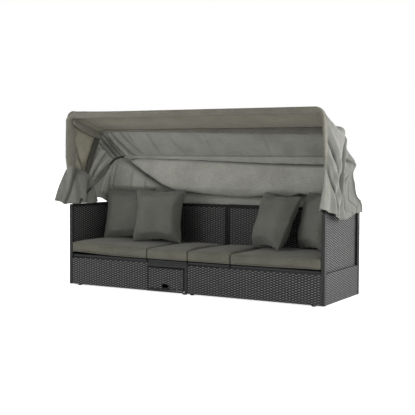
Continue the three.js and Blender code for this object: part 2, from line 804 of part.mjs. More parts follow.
// A closed sheet from a grid of points, half its thickness to each side of them.
function sheetGeometry(grid) {
  const rows = grid.length;
  const columns = grid[0].length;
  const at = (row, column) =>
    grid[Math.min(Math.max(row, 0), rows - 1)][Math.min(Math.max(column, 0), columns - 1)];
  const positions = [];
  for (const side of [1, -1]) {
    for (let row = 0; row < rows; row += 1) {
      for (let column = 0; column < columns; column += 1) {
        const along = at(row + 1, column).clone().sub(at(row - 1, column));
        const across = at(row, column + 1).clone().sub(at(row, column - 1));
        const normal = along.cross(across).normalize();
        positions.push(...grid[row][column].clone().addScaledVector(normal, (side * clothThickness) / 2));
      }
    }
  }
  const other = rows * columns;
  const index = (row, column) => row * columns + column;
  const faces = [];
  const quad = (a, b, c, d) => faces.push(a, b, c, a, c, d);
  for (let row = 0; row < rows - 1; row += 1) {
    for (let column = 0; column < columns - 1; column += 1) {
      const [a, b] = [index(row, column), index(row + 1, column)];
      quad(a, b, b + 1, a + 1);
      quad(other + a, other + a + 1, other + b + 1, other + b);
    }
    const [first, last] = [index(row, 0), index(row, columns - 1)];
    quad(first, other + first, other + first + columns, first + columns);
    quad(last, last + columns, other + last + columns, other + last);
  }
  for (let column = 0; column < columns - 1; column += 1) {
    const [first, last] = [index(0, column), index(rows - 1, column)];
    quad(first, first + 1, other + first + 1, other + first);
    quad(last, other + last, other + last + 1, last + 1);
  }
  const geometry = new THREE.BufferGeometry();
  geometry.setAttribute("position", new THREE.Float32BufferAttribute(positions, 3));
  geometry.setIndex(faces);
  geometry.computeVertexNormals();
  return geometry;
}

// Folds that grow towards the hem and never reach inside the straight line between the edges.
function foldDepth(station, across, folds, depth) {
  const hang = station.zone === "side" ? 1 - station.share : 0;
  return depth * hang * (1 - Math.cos(2 * Math.PI * folds * across)) * Math.sin(Math.PI * across) ** 0.5;
}

function gore(name, frontEdge, backEdge, columns, folds) {
  const grid = edgeStations().map((station) => {
    const start = frontEdge(station);
    const end = backEdge(station);
    const row = [];
    for (let i = 0; i <= columns; i += 1) {
      const across = i / columns;
      const point = start.clone().lerp(end, across);
      const roofShare = station.zone === "roof" ? 1 : station.zone === "corner" ? station.share : 0;
      point.z -= roofSag * Math.sin(Math.PI * across) * roofShare;
      point.x += station.sign * foldDepth(station, across, folds, sideFoldDepth / 2);
      row.push(point);
    }
    return row;
  });
  return part(name, sheetGeometry(grid), canopyCloth);
}

// The back piece falls from the rear hoop to the outer hem, bellied out so that it passes outside the walls.
function backPiece(name, topEdge, columns) {
  const grid = edgeStations().map((station) => {
    const start = topEdge(station);
    const end = hemEdge(station);
    const row = [];
    for (let i = 0; i <= columns; i += 1) {
      const across = i / columns;
      const outwards = Math.sin((across * Math.PI) / 2);
      const folded = station.zone === "roof" ? Math.cos(Math.PI * backFolds * station.share) ** 2 : 0;
      row.push(
        new THREE.Vector3(
          start.x + (end.x - start.x) * outwards,
          start.y + (end.y - start.y) * outwards + backFoldDepth * folded * across,
          start.z + (end.z - start.z) * across,
        ),
      );
    }
    return row;
  });
  return part(name, sheetGeometry(grid), canopyCloth);
}

function canopyGores() {
  const front = {
    legX: frontLegX,
    reach: frontReach,
    leanDegrees: frontLeanDegrees,
    hemY: frontEdgeHemY,
    ease: frontEdgeEase,
    plumb: true,
  };
  const mid = { legX: midLegX, reach: midReach, leanDegrees: midLeanDegrees, hemY: midSeamHemY, ease: 0 };
  const rear = { legX: rearLegX, reach: rearReach, leanDegrees: rearLeanDegrees, hemY: rearSeamHemY, ease: 0 };
  return [
    gore("canopy_front_gore", hoopEdge(front, 1), hoopEdge(mid, -1), 10, frontGoreFolds),
    gore("canopy_rear_gore", hoopEdge(mid, 1), hoopEdge(rear, -1), 8, rearGoreFolds),
    backPiece("canopy_back", hoopEdge(rear, 1), 8),
  ];
}

const daybed = new THREE.Group();
for (const side of ["left", "right"]) {
  daybed.add(moduleFrame(side), frontWeave(side), sideWeave(side), backWeave(side), backrestWeave(side));
  daybed.add(armFrame(side), armWeave(side));
  for (const place of ["wide", "centre"]) daybed.add(seatDeck(side, place), seatPad(side, place));
  daybed.add(pivotBracket(side), pivotBolt(side), pivotWasher(side));
}
for (const name of Object.keys(pillowPlaceShares)) daybed.add(pillow(name));
daybed.add(drawerFront(), drawerBox());
daybed.add(runner("drawer_outer_runner", -bayPostInner, -bayPostInner + drawerBoxInset));
daybed.add(runner("drawer_inner_runner", -halfGap - frameTube, -drawerRightEdge - drawerBoxInset));
daybed.add(...glides(), ...moduleBolts());
daybed.add(hoop("front_hoop", frontLegX, frontReach, frontLeanDegrees));
daybed.add(hoop("mid_hoop", midLegX, midReach, midLeanDegrees));
daybed.add(hoop("rear_hoop", rearLegX, rearReach, rearLeanDegrees));
daybed.add(...canopyGores());

// The origin is at the middle of the box that holds everything, on the floor.
const bounds = new THREE.Box3().setFromObject(daybed);
daybed.position.y = -(bounds.min.y + bounds.max.y) / 2;

export default daybed;
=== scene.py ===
import json
import math

import bmesh
import bpy
from mathutils import Matrix, Vector, kdtree, noise
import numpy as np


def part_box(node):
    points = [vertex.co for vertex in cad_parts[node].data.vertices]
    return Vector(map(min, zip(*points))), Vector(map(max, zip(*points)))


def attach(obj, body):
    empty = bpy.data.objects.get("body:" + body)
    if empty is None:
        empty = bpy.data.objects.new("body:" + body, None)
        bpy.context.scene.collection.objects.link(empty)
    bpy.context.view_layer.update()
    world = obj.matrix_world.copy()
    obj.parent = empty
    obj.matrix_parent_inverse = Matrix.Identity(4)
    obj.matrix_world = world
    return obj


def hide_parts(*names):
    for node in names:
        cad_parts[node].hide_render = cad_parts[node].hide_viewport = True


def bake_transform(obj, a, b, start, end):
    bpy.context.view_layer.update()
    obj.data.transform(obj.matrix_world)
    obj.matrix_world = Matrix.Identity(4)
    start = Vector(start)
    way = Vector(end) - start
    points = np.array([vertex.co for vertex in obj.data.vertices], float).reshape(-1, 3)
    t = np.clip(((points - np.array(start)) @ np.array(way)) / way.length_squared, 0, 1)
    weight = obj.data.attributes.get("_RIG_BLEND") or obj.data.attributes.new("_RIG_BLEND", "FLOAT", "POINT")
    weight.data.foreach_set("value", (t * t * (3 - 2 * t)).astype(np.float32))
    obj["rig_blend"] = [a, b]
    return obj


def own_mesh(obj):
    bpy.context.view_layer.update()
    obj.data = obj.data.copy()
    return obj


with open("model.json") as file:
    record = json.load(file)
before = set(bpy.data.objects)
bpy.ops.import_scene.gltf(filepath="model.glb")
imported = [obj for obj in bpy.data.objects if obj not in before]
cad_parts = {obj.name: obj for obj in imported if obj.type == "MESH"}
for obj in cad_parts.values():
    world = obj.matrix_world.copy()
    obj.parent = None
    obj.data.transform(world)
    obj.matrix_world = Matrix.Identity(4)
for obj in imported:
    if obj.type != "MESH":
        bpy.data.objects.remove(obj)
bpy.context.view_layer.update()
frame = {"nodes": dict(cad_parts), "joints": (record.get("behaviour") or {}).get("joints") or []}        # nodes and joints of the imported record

print("stage: frame loaded")

# the base and the walls, measured on the frame, in metres
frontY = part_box("right_front_weave")[0].y
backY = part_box("right_back_weave")[1].y
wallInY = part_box("right_backrest_weave")[0].y
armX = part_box("right_arm_weave")[0].x
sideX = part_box("right_side_weave")[1].x
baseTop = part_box("right_front_weave")[1].z
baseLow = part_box("right_front_weave")[0].z
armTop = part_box("right_arm_frame")[1].z
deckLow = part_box("right_wide_deck")[0].z


def linked(name, data):
    made = bpy.data.objects.new(name, data)
    bpy.context.scene.collection.objects.link(made)
    return made


# camera, at the photograph's place and angle
camera = {"place": (3.211, -5.611, 0.958), "turnDegrees": 29.86, "downDegrees": 3.34, "rollDegrees": 0.19,
          "lens": 80.2, "sensor": 36.0, "farEnd": 60}


def setCamera():
    data = bpy.data.cameras.new("viewCamera")
    data.lens = camera["lens"]
    data.sensor_width = camera["sensor"]
    data.clip_end = camera["farEnd"]
    turn = Matrix.Rotation(math.radians(camera["turnDegrees"]), 4, "Z")
    tilt = Matrix.Rotation(math.radians(90 - camera["downDegrees"]), 4, "X")
    roll = Matrix.Rotation(math.radians(camera["rollDegrees"]), 4, "Z")
    seen = linked("viewCamera", data)
    seen.matrix_world = Matrix.Translation(camera["place"]) @ turn @ tilt @ roll
    bpy.context.scene.camera = seen


setCamera()


def addNode(tree, kind, place=(0, 0), **settings):
    node = tree.nodes.new(kind)
    node.location = place
    for name, value in settings.items():
        setattr(node, name, value)
    return node


# links each value that is a socket, and sets the others on the node's own sockets
def feed(tree, node, values):
    for name, value in values.items():
        if isinstance(value, bpy.types.NodeSocket):
            tree.links.new(value, node.inputs[name])
        else:
            node.inputs[name].default_value = value
    return node


def mathNode(tree, operation, first, second, place=(0, 0)):
    node = addNode(tree, "ShaderNodeMath", place, operation=operation)
    return feed(tree, node, {0: first, 1: second}).outputs[0]


def rangeNode(tree, value, limits, place):
    return feed(tree, addNode(tree, "ShaderNodeMapRange", place), {"Value": value, **limits}).outputs["Result"]


def mixNode(tree, factor, first, second, place, blend="MIX"):
    node = addNode(tree, "ShaderNodeMix", place, data_type="RGBA", blend_type=blend)
    return feed(tree, node, {"Factor": factor, "A": first, "B": second}).outputs["Result"]


def stretchedNoise(tree, vector, scales, detail, place):
    stretch = feed(tree, addNode(tree, "ShaderNodeMapping", place), {"Vector": vector, "Scale": scales})
    grain = addNode(tree, "ShaderNodeTexNoise", (place[0] + 200, place[1]))
    feed(tree, grain, {"Vector": stretch.outputs["Vector"], "Scale": 1.0, "Detail": detail})
    return grain.outputs["Fac"]


# shared node groups: they take a place and one number at most, and put out masks and heights only
def startGroup(name, number, outputs):
    group = bpy.data.node_groups.new(name, "ShaderNodeTree")
    group.interface.new_socket(name="Vector", in_out="INPUT", socket_type="NodeSocketVector")
    for label, value in number.items():
        socket = group.interface.new_socket(name=label, in_out="INPUT", socket_type="NodeSocketFloat")
        socket.default_value = value
    for label in outputs:
        group.interface.new_socket(name=label, in_out="OUTPUT", socket_type="NodeSocketFloat")
    given = addNode(group, "NodeGroupInput", (-900, 0)).outputs
    return group, given, addNode(group, "NodeGroupOutput", (700, 0))


threads = {"long": 26.0, "across": 620.0, "mottle": 5.5, "height": 0.5}


def makeClothGroup():
    group, given, end = startGroup("heatherThreads", {"Contrast": 1.0}, ("Tone", "Height"))
    long, across = threads["long"], threads["across"]
    warp = stretchedNoise(group, given["Vector"], (long, across, across), 2.0, (-700, 300))
    weft = stretchedNoise(group, given["Vector"], (across, long, across), 2.0, (-700, 0))
    rise = stretchedNoise(group, given["Vector"], (across, across, long), 2.0, (-700, -300))
    mottle = stretchedNoise(group, given["Vector"], (threads["mottle"],) * 3, 3.0, (-700, -600))
    woven = mathNode(group, "ADD", mathNode(group, "ADD", warp, weft), rise, (-200, 200))
    centred = mathNode(group, "SUBTRACT", woven, 1.5, (0, 200))
    soft = mathNode(group, "MULTIPLY", mathNode(group, "SUBTRACT", mottle, 0.5), 0.5, (0, -200))
    both = mathNode(group, "ADD", centred, soft, (200, 100))
    tone = mathNode(group, "ADD", mathNode(group, "MULTIPLY", both, given["Contrast"]), 0.5, (400, 100))
    feed(group, end, {"Tone": tone, "Height": mathNode(group, "MULTIPLY", woven, threads["height"])})
    return group


def makeWearGroup():
    group, given, end = startGroup("softWear", {"Scale": 12.0}, ("Mask",))
    cloud = addNode(group, "ShaderNodeTexNoise", (-250, 0))
    feed(group, cloud, {"Vector": given["Vector"], "Scale": given["Scale"], "Detail": 4.0})
    mask = rangeNode(group, cloud.outputs["Fac"], {"From Min": 0.35, "From Max": 0.7}, (0, 0))
    feed(group, end, {"Mask": mask})
    return group


def makeStripGroup():
    group, given, end = startGroup("rattanStrip", {}, ("Tone", "Height"))
    rows = stretchedNoise(group, given["Vector"], (3.0, 3.0, 125.0), 0.0, (-700, 200))
    streaks = stretchedNoise(group, given["Vector"], (30.0, 30.0, 1800.0), 1.0, (-700, -100))
    fine = mathNode(group, "MULTIPLY", streaks, 0.25)
    tone = mathNode(group, "ADD", mathNode(group, "MULTIPLY", rows, 0.75), fine)
    feed(group, end, {"Tone": tone, "Height": streaks})
    return group


clothGroup = makeClothGroup()
wearGroup = makeWearGroup()
stripGroup = makeStripGroup()
agedTint = (0.86, 0.86, 0.85, 1)
wearScale = 9.0
bumpDistance = 0.0006


# a principled material whose colour goes from dark to light by a group's tone
def makeMaterial(name, finish):
    material = bpy.data.materials.new(name)
    material.use_nodes = True
    tree = material.node_tree
    shader = tree.nodes["Principled BSDF"]
    vector = addNode(tree, "ShaderNodeTexCoord", (-1100, 0)).outputs["Object"]
    grain = addNode(tree, "ShaderNodeGroup", (-700, 200), node_tree=finish["group"])
    feed(tree, grain, {"Vector": vector})
    if "contrast" in finish:
        grain.inputs["Contrast"].default_value = finish["contrast"]
    wear = addNode(tree, "ShaderNodeGroup", (-700, -100), node_tree=wearGroup)
    feed(tree, wear, {"Vector": vector, "Scale": wearScale})
    tone = grain.outputs[0]
    colour = mixNode(tree, tone, (*finish["dark"], 1), (*finish["light"], 1), (-400, 200))
    colour = mixNode(tree, wear.outputs["Mask"], colour, agedTint, (-200, 200), "MULTIPLY")
    roughness = {"To Min": finish["rough"] - 0.07, "To Max": finish["rough"] + 0.07}
    rough = rangeNode(tree, tone, roughness, (-400, -100))
    if "shade" in finish:        # an attribute of the mesh paints shade or highlight into the colour
        attribute, limits = finish["shade"]
        paintedLightMask = addNode(tree, "ShaderNodeAttribute", (-700, -400), attribute_name=attribute).outputs["Fac"]
        colour = mixNode(tree, 1.0, colour, rangeNode(tree, paintedLightMask, limits, (-500, -400)), (0, 200), "MULTIPLY")
    if "matt" in finish:
        rough = mathNode(tree, "ADD", rough, rangeNode(tree, paintedLightMask, finish["matt"], (-500, -650)), (-200, -100))
    feed(tree, shader, {
        "Base Color": colour, "Roughness": rough, "Metallic": finish.get("metallic", 0.0),
        "Sheen Weight": finish.get("sheen", 0.0), "Sheen Roughness": 0.5,
        "Specular IOR Level": finish.get("specular", 0.5),
    })
    if "bump" in finish:
        relief = addNode(tree, "ShaderNodeBump", (-200, -300))
        height = grain.outputs["Height"]
        feed(tree, relief, {"Strength": finish["bump"], "Distance": bumpDistance, "Height": height})
        feed(tree, shader, {"Normal": relief.outputs["Normal"]})
    return material


def plainFinish(group, dark, light, rough, **more):
    return {"group": group, "dark": dark, "light": light, "rough": rough, **more}


# with foldShade, the cloth's colour takes painted shade from a mesh attribute, down to that share
def clothFinish(dark, light, foldShade=None):
    shade = {"shade": ("paintedClothShade", {"To Min": 1.0, "To Max": foldShade})} if foldShade else {}
    return plainFinish(clothGroup, dark, light, 0.93, bump=0.5, sheen=0.15, contrast=0.9, specular=0.25, **shade)


finishes = {
    # wickerStrip multiplies its colour by the strips' front-or-behind mask: near black in the dips, painted
    # shade, and up to 3.7 times on the fronts, painted highlight
    "wickerStrip": plainFinish(stripGroup, (0.024, 0.024, 0.024), (0.062, 0.062, 0.061), 0.34, bump=0.3,
                               specular=0.75, matt={"From Max": 0.8, "To Min": 0.55, "To Max": 0.0},
                               shade=("over", {"From Min": 0.62, "To Min": 0.01, "To Max": 3.7})),
    "wickerWrap": plainFinish(stripGroup, (0.007, 0.007, 0.007), (0.016, 0.016, 0.017), 0.45, bump=0.2,
                              specular=0.35),
    # a darker copy of the wrap: painted shade on the rails in shadow and on the gap lines under the deck
    "wickerDark": plainFinish(stripGroup, (0.004, 0.004, 0.004), (0.009, 0.009, 0.009), 0.6, bump=0.2,
                              specular=0.2),
    # a near-black copy of the wicker for the plates behind the strips: painted shade
    "wickerCore": plainFinish(stripGroup, (0.004, 0.004, 0.004), (0.008, 0.008, 0.008), 0.8),
    "frameCoat": plainFinish(wearGroup, (0.018, 0.019, 0.021), (0.028, 0.029, 0.031), 0.45),
    "hoopCoat": plainFinish(wearGroup, (0.022, 0.023, 0.022), (0.032, 0.033, 0.032), 0.4, metallic=0.2),
    "boltSteel": plainFinish(wearGroup, (0.42, 0.43, 0.44), (0.56, 0.57, 0.58), 0.32, metallic=1.0),
    "mouldedBlack": plainFinish(wearGroup, (0.012, 0.012, 0.013), (0.020, 0.020, 0.021), 0.6),
    "padCloth": clothFinish((0.068, 0.067, 0.051), (0.178, 0.173, 0.140)),
    "pillowCloth": clothFinish((0.072, 0.075, 0.064), (0.175, 0.178, 0.158)),
    "canopyCloth": clothFinish((0.182, 0.184, 0.162), (0.425, 0.426, 0.386), 0.18),
    "canopyWarm": clothFinish((0.155, 0.147, 0.110), (0.365, 0.348, 0.272), 0.18),
    # the outer, pale and lip finishes are copies of the canopy cloth: outer and lip darker, painted shade; pale
    # lighter, painted light
    "canopyOuter": clothFinish((0.094, 0.095, 0.084), (0.222, 0.223, 0.201), 0.16),
    "canopyLitSkirt": clothFinish((0.205, 0.207, 0.182), (0.475, 0.476, 0.432), 0.16),
    "canopyLip": clothFinish((0.090, 0.087, 0.070), (0.215, 0.208, 0.172), 0.18),
}
materials = {name: makeMaterial(name, finish) for name, finish in finishes.items()}
print("stage: materials made")


# which frame nodes, by the end of their names, get which material
coats = {
    "frameCoat": ("left_frame", "right_frame", "_pivot_bracket"),
    "boltSteel": ("_bolt", "_runner"),
    "mouldedBlack": ("_pivot_washer", "_glide", "drawer_box"),
    "hoopCoat": ("_hoop",),
    "wickerWrap": ("_deck",),
}


def coatFrameNodes():
    for material, endings in coats.items():
        for name in frame["nodes"]:
            if name.endswith(endings):
                node = frame["nodes"][name]
                node.data.materials.clear()
                node.data.materials.append(materials[material])


coatFrameNodes()


def finishPiece(name, mesh, material, body, smooth=True, stands=()):
    piece = mesh if isinstance(mesh, bpy.types.Object) else linked(name, mesh)
    piece.data.materials.clear()
    for each in ([material] if isinstance(material, str) else material):
        piece.data.materials.append(materials[each])
    if smooth:
        piece.data.shade_smooth()
    if body:
        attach(piece, body)
    if stands:
        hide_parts(*stands)
    return piece


def meshFrom(name, bm, recalc=True):
    if recalc:
        bmesh.ops.recalc_face_normals(bm, faces=bm.faces)
    mesh = bpy.data.meshes.new(name)
    bm.to_mesh(mesh)
    bm.free()
    return mesh


def joinInto(bm, part, recalc=False):
    mesh = meshFrom("joinedPart", part, recalc)
    bm.from_mesh(mesh)
    bpy.data.meshes.remove(mesh)


def addBox(bm, low, high):
    made = bmesh.ops.create_cube(bm, size=1)["verts"]
    size = Matrix.Diagonal((*(high - low), 1))
    bmesh.ops.transform(bm, matrix=Matrix.Translation((low + high) / 2) @ size, verts=made)
    return made


def extruded(bm, edges):
    grown = bmesh.ops.extrude_edge_only(bm, edges=edges)["geom"]
    verts = [item for item in grown if isinstance(item, bmesh.types.BMVert)]
    sides = [item for item in grown if isinstance(item, bmesh.types.BMEdge)]
    return verts, [edge for edge in sides if edge.verts[0] in verts and edge.verts[1] in verts]


# joins a new ring of vertices to the one before it
def bridgeRing(bm, ring, last):
    edges = [edge for edge in bm.edges if edge.verts[0] in ring and edge.verts[1] in ring]
    if last:
        bmesh.ops.bridge_loops(bm, edges=last + edges)
    return edges


def fillRims(bm):
    bmesh.ops.holes_fill(bm, edges=[edge for edge in bm.edges if edge.is_boundary], sides=0)


# weave: flat strips that pass over and under upright ones
weave = {"warpPitch": 0.022, "rowHeight": 0.008, "stripHeight": 0.0062, "stripThickness": 0.0016,
         "swing": 0.0027, "warpWidth": 0.0044, "warpShade": 0.12, "warpThickness": 0.0010,
         "stepsPerPitch": 2, "depth": 0.0060, "coreThickness": 0.0015}
alongX = Matrix(((0, 0, 1, 0), (1, 0, 0, 0), (0, 1, 0, 0), (0, 0, 0, 1)))    # lays a section out to run along X


def weftTile():
    period = 2 * weave["warpPitch"]
    steps = 2 * weave["stepsPerPitch"]
    bm = bmesh.new()
    for row, swing in enumerate((-weave["swing"], weave["swing"])):
        ring = bmesh.ops.create_circle(bm, segments=4, radius=0.5)["verts"]
        size = Matrix.Diagonal((weave["stripThickness"], weave["stripHeight"], 1, 1))
        bmesh.ops.transform(bm, matrix=alongX @ size, verts=ring)
        bmesh.ops.translate(bm, vec=(0, -swing, (row + 0.5) * weave["rowHeight"]), verts=ring)
        edges = list({edge for vert in ring for edge in vert.link_edges})
        for step in range(steps):
            verts, edges = extruded(bm, edges)
            before, after = (math.cos(2 * math.pi * place / steps) for place in (step, step + 1))
            bmesh.ops.translate(bm, vec=(period / steps, -swing * (after - before), 0), verts=verts)
    over = bm.verts.layers.float.new("over")    # 1 where a strip lies in front, 0 where it dips behind; the material paints highlight on the fronts and shade in the dips from it
    for vert in bm.verts:
        vert[over] = min(max(0.5 - vert.co.y / (2 * weave["swing"]), 0), 1)
    return meshFrom("weftTile", bm)


tileMesh = weftTile()


def arrayed(mesh, counts):
    carrier = linked("weaveCarrier", mesh)
    for count, step in counts:
        repeat = carrier.modifiers.new("repeat", "ARRAY")
        repeat.count = count
        repeat.use_relative_offset = False
        repeat.use_constant_offset = True
        repeat.constant_offset_displace = step
        repeat.use_merge_vertices = True
        repeat.merge_threshold = 0.00005
    depsgraph = bpy.context.evaluated_depsgraph_get()
    result = bpy.data.meshes.new_from_object(carrier.evaluated_get(depsgraph))
    bpy.data.objects.remove(carrier)
    return result


def cutPlane(bm, axis, limit, way=1, clear=False):
    normal, at = [0, 0, 0], [0, 0, 0]
    normal[axis], at[axis] = way, limit
    geometry = list(bm.verts) + list(bm.edges) + list(bm.faces)
    bmesh.ops.bisect_plane(bm, geom=geometry, dist=1e-7, plane_co=at, plane_no=normal, clear_outer=clear)


def cutWindow(bm, low, high):
    for axis in (0, 2):
        cutPlane(bm, axis, low[axis])
        cutPlane(bm, axis, high[axis])
    middles = [(face, face.calc_center_median()) for face in bm.faces]
    inside = [face for face, at in middles if low[0] < at.x < high[0] and low[2] < at.z < high[2]]
    bmesh.ops.delete(bm, geom=inside, context="FACES")


# a woven rectangle in X and Z whose outermost strips reach y 0, facing -Y
def weaveSheet(width, height, window):
    pitch, rowPair = weave["warpPitch"], 2 * weave["rowHeight"]
    across, up = math.ceil(width / (2 * pitch)) + 1, math.ceil(height / rowPair) + 1
    bm = bmesh.new()
    bm.from_mesh(arrayed(tileMesh.copy(), [(across, (2 * pitch, 0, 0)), (up, (0, 0, rowPair))]))
    over = bm.verts.layers.float["over"]
    middle = weave["swing"] + weave["stripThickness"] / 2
    bmesh.ops.translate(bm, vec=(-pitch / 2, middle, 0), verts=bm.verts)
    half = Vector((weave["warpWidth"] / 2, weave["warpThickness"] / 2, height / 2))
    for column in range(math.ceil(width / pitch)):
        centre = Vector(((column + 0.5) * pitch, middle, height / 2))
        for vert in addBox(bm, centre - half, centre + half):
            # the uprights take a low value of the mask: painted shade, as they lie behind the strips
            vert[over] = weave["warpShade"]
    for axis, limit in ((0, width), (2, height)):
        cutPlane(bm, axis, 0, -1, clear=True)
        cutPlane(bm, axis, limit, 1, clear=True)
    if window:
        cutWindow(bm, *window)
    fillRims(bm)
    return bm


facingTurns = {"front": 0, "back": math.pi, "right": math.pi / 2, "left": -math.pi / 2}


def addWeave(bm, low, high, facing, window):
    width = (high.x - low.x) if facing in ("front", "back") else (high.y - low.y)
    sheet = weaveSheet(width, high.z - low.z, window)
    x = high.x if facing in ("back", "right") else low.x
    y = high.y if facing in ("back", "left") else low.y
    place = Matrix.Translation((x, y, low.z)) @ Matrix.Rotation(facingTurns[facing], 4, "Z")
    bmesh.ops.transform(sheet, matrix=place, verts=sheet.verts)
    joinInto(bm, sheet)


# a near-black plate behind the strips, inside the skin's own thickness: painted shade seen through the gaps
def addCore(bm, low, high, facing):
    axis = 1 if facing in ("front", "back") else 0
    inner, outer = Vector(low), Vector(high)
    if facing in ("front", "left"):
        inner[axis] = low[axis] + weave["depth"]
        outer[axis] = inner[axis] + weave["coreThickness"]
    else:
        outer[axis] = high[axis] - weave["depth"]
        inner[axis] = outer[axis] - weave["coreThickness"]
    for face in {face for vert in addBox(bm, inner, outer) for face in vert.link_faces}:
        face.material_index = 1


def wovenSkin(name, node, facings, low=None, high=None, body="daybed", window=None):
    boxLow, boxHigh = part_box(node)
    low = Vector(low) if low else boxLow
    high = Vector(high) if high else boxHigh
    bm = bmesh.new()
    for facing in facings:
        addWeave(bm, low, high, facing, window)
    if not window:
        addCore(bm, low, high, facings[0])
    mesh = meshFrom(name, bm, recalc=False)
    finishPiece(name, mesh, ["wickerStrip", "wickerCore"], body, smooth=False, stands=(node,))


topLine = 0.008        # height of the painted shadow line along the base's top edge


def weaveWalls():
    frontEnds = {
        "left": (-armX - 0.004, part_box("drawer_front")[0].x - 0.002),
        "right": (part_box("right_front_weave")[0].x, armX + 0.004),
    }
    for side, (startX, endX) in frontEnds.items():
        node = side + "_front_weave"
        low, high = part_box(node)
        start, end = (startX, low.y, low.z), (endX, high.y, high.z - topLine)
        wovenSkin(side + "FrontWeave", node, ["front"], start, end)
        wovenSkin(side + "SideWeave", side + "_side_weave", [side])
        wovenSkin(side + "BackWeave", side + "_back_weave", ["back"])
        wovenSkin(side + "BackrestWeave", side + "_backrest_weave", ["front"])
        wovenSkin(side + "ArmWeave", side + "_arm_weave", ["left", "right"])


weaveWalls()
print("stage: walls woven")


# bars wound with flat tape: a rounded section drawn along a route, a shade thinner at each turn's edge
wrap = {"turn": 0.0085, "dent": 0.0005, "corner": 0.004}
barTurns = [alongX, Matrix(((1, 0, 0, 0), (0, 0, 1, 0), (0, 1, 0, 0), (0, 0, 0, 1))), Matrix.Identity(4)]


def roundedFace(bm, width, depth):
    corner = min(wrap["corner"], 0.4 * min(width, depth))
    ring = bmesh.ops.create_circle(bm, cap_ends=True, segments=12, radius=corner)["verts"]
    bmesh.ops.transform(bm, matrix=Matrix.Rotation(math.radians(15), 4, "Z"), verts=ring)
    for vert in ring:
        vert.co.x += math.copysign(width / 2 - corner, vert.co.x)
        vert.co.y += math.copysign(depth / 2 - corner, vert.co.y)
    return next(iter(bm.faces))


def tapedBar(bm, low, high, axis):
    low, high = Vector(low), Vector(high)
    size = high - low
    width, depth = (size[other] for other in range(3) if other != axis)
    made = bmesh.new()
    edges = list(roundedFace(made, width, depth).edges)
    turns = max(2, round(size[axis] / wrap["turn"]))
    for step in range(2 * turns):
        verts, edges = extruded(made, edges)
        thin = wrap["dent"] * (1 if step % 2 else -1)
        grow = Matrix.Diagonal((1 - 2 * thin / width, 1 - 2 * thin / depth, 1, 1))
        bmesh.ops.transform(made, matrix=grow, verts=verts)
        bmesh.ops.translate(made, vec=(0, 0, size[axis] / (2 * turns)), verts=verts)
    bmesh.ops.holes_fill(made, edges=edges, sides=0)
    start = (low + high) / 2
    start[axis] = low[axis]
    bmesh.ops.transform(made, matrix=Matrix.Translation(start) @ barTurns[axis], verts=made.verts)
    joinInto(bm, made, recalc=True)


def barPiece(name, bars, stands=(), body="daybed", material="wickerWrap"):
    bm = bmesh.new()
    for low, high, axis in bars:
        tapedBar(bm, low, high, axis)
    finishPiece(name, meshFrom(name, bm, recalc=False), material, body, smooth=False, stands=stands)


def mirroredBar(low, high, axis, sign):
    startX, endX = sorted((sign * low[0], sign * high[0]))
    return (startX, low[1], low[2]), (endX, high[1], high[2]), axis


rails = {"proud": 0.0012, "gap": 0.0012, "postDepth": 0.0225, "railHeight": 0.025, "wallRail": 0.024,
         "seamPost": 0.022}


def makeRails():
    proud, gap = rails["proud"], rails["gap"]
    postBack = frontY + rails["postDepth"]
    wallTop = armTop - rails["wallRail"]
    inFace, outFace = wallInY - 0.001, backY + 0.001
    armBars = [
        ((armX, frontY - proud, deckLow), (sideX, postBack, armTop - 0.001), 2),
        ((armX, postBack - 0.004, armTop - rails["railHeight"]), (sideX, wallInY - 0.0003, armTop), 1),
    ]
    footBars = [((armX + 0.002, frontY - proud, baseLow), (sideX + proud, postBack, baseTop - 0.0005), 2)]
    wallBars = [
        ((gap, inFace, wallTop), (sideX, outFace, armTop + 0.001), 0),
        ((armX + 0.011, inFace, deckLow), (sideX + 0.001, outFace, wallTop), 2),
        ((gap, inFace, deckLow), (rails["seamPost"], wallInY + 0.008, wallTop), 2),
        ((gap, backY - 0.008, baseLow), (rails["seamPost"], outFace, wallTop), 2),
        ((sideX - 0.024, backY - 0.03, baseLow), (sideX + 0.001, outFace, deckLow), 2),
    ]
    for side, sign in (("left", -1), ("right", 1)):
        arm, foot, wall = ([mirroredBar(*bar, sign) for bar in bars] for bars in (armBars, footBars, wallBars))
        barPiece(side + "ArmRail", arm, stands=(side + "_arm_frame",))
        barPiece(side + "BasePost", foot)
        # the wall rails take the darker copy of the wrap: painted shade
        barPiece(side + "WallRail", wall, material="wickerDark")
    drawerLow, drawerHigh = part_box("drawer_front")
    bayLeft, bayFace, bayBack = drawerLow.x - 0.002, frontY - 0.0008, frontY + 0.012
    barPiece("drawerBay", [
        ((bayLeft, bayFace, drawerHigh.z + 0.004), (-gap - 0.001, bayBack, baseTop - 0.005), 0),
        ((drawerHigh.x + 0.005, bayFace, baseLow), (-gap - 0.001, bayBack, drawerHigh.z + 0.004), 2),
    ])
    # near-black strips along the base's top edge and its sides: painted shadow lines for the gap under the deck
    lineLow, lineBack, lineTop = baseTop - topLine, frontY + 0.01, baseTop - 0.001
    lines = [
        ((-armX, frontY + 0.002, lineLow), (bayLeft, lineBack, lineTop), 0),
        ((gap, frontY + 0.002, lineLow), (armX, lineBack, lineTop), 0),
    ]
    for sign in (-1, 1):
        sideLine = ((sideX - 0.012, postBack, baseTop - 0.002), (sideX - 0.005, wallInY, deckLow + 0.003), 1)
        lines.append(mirroredBar(*sideLine, sign))
    barPiece("baseTopRail", lines, material="wickerDark")


makeRails()
print("stage: rails wound")


# drawer front: a smooth rounded border round its own weave, with a finger slot
drawer = {"border": 0.009, "slot": (0.050, 0.026), "slotZ": 0.049, "slotRim": 0.004}


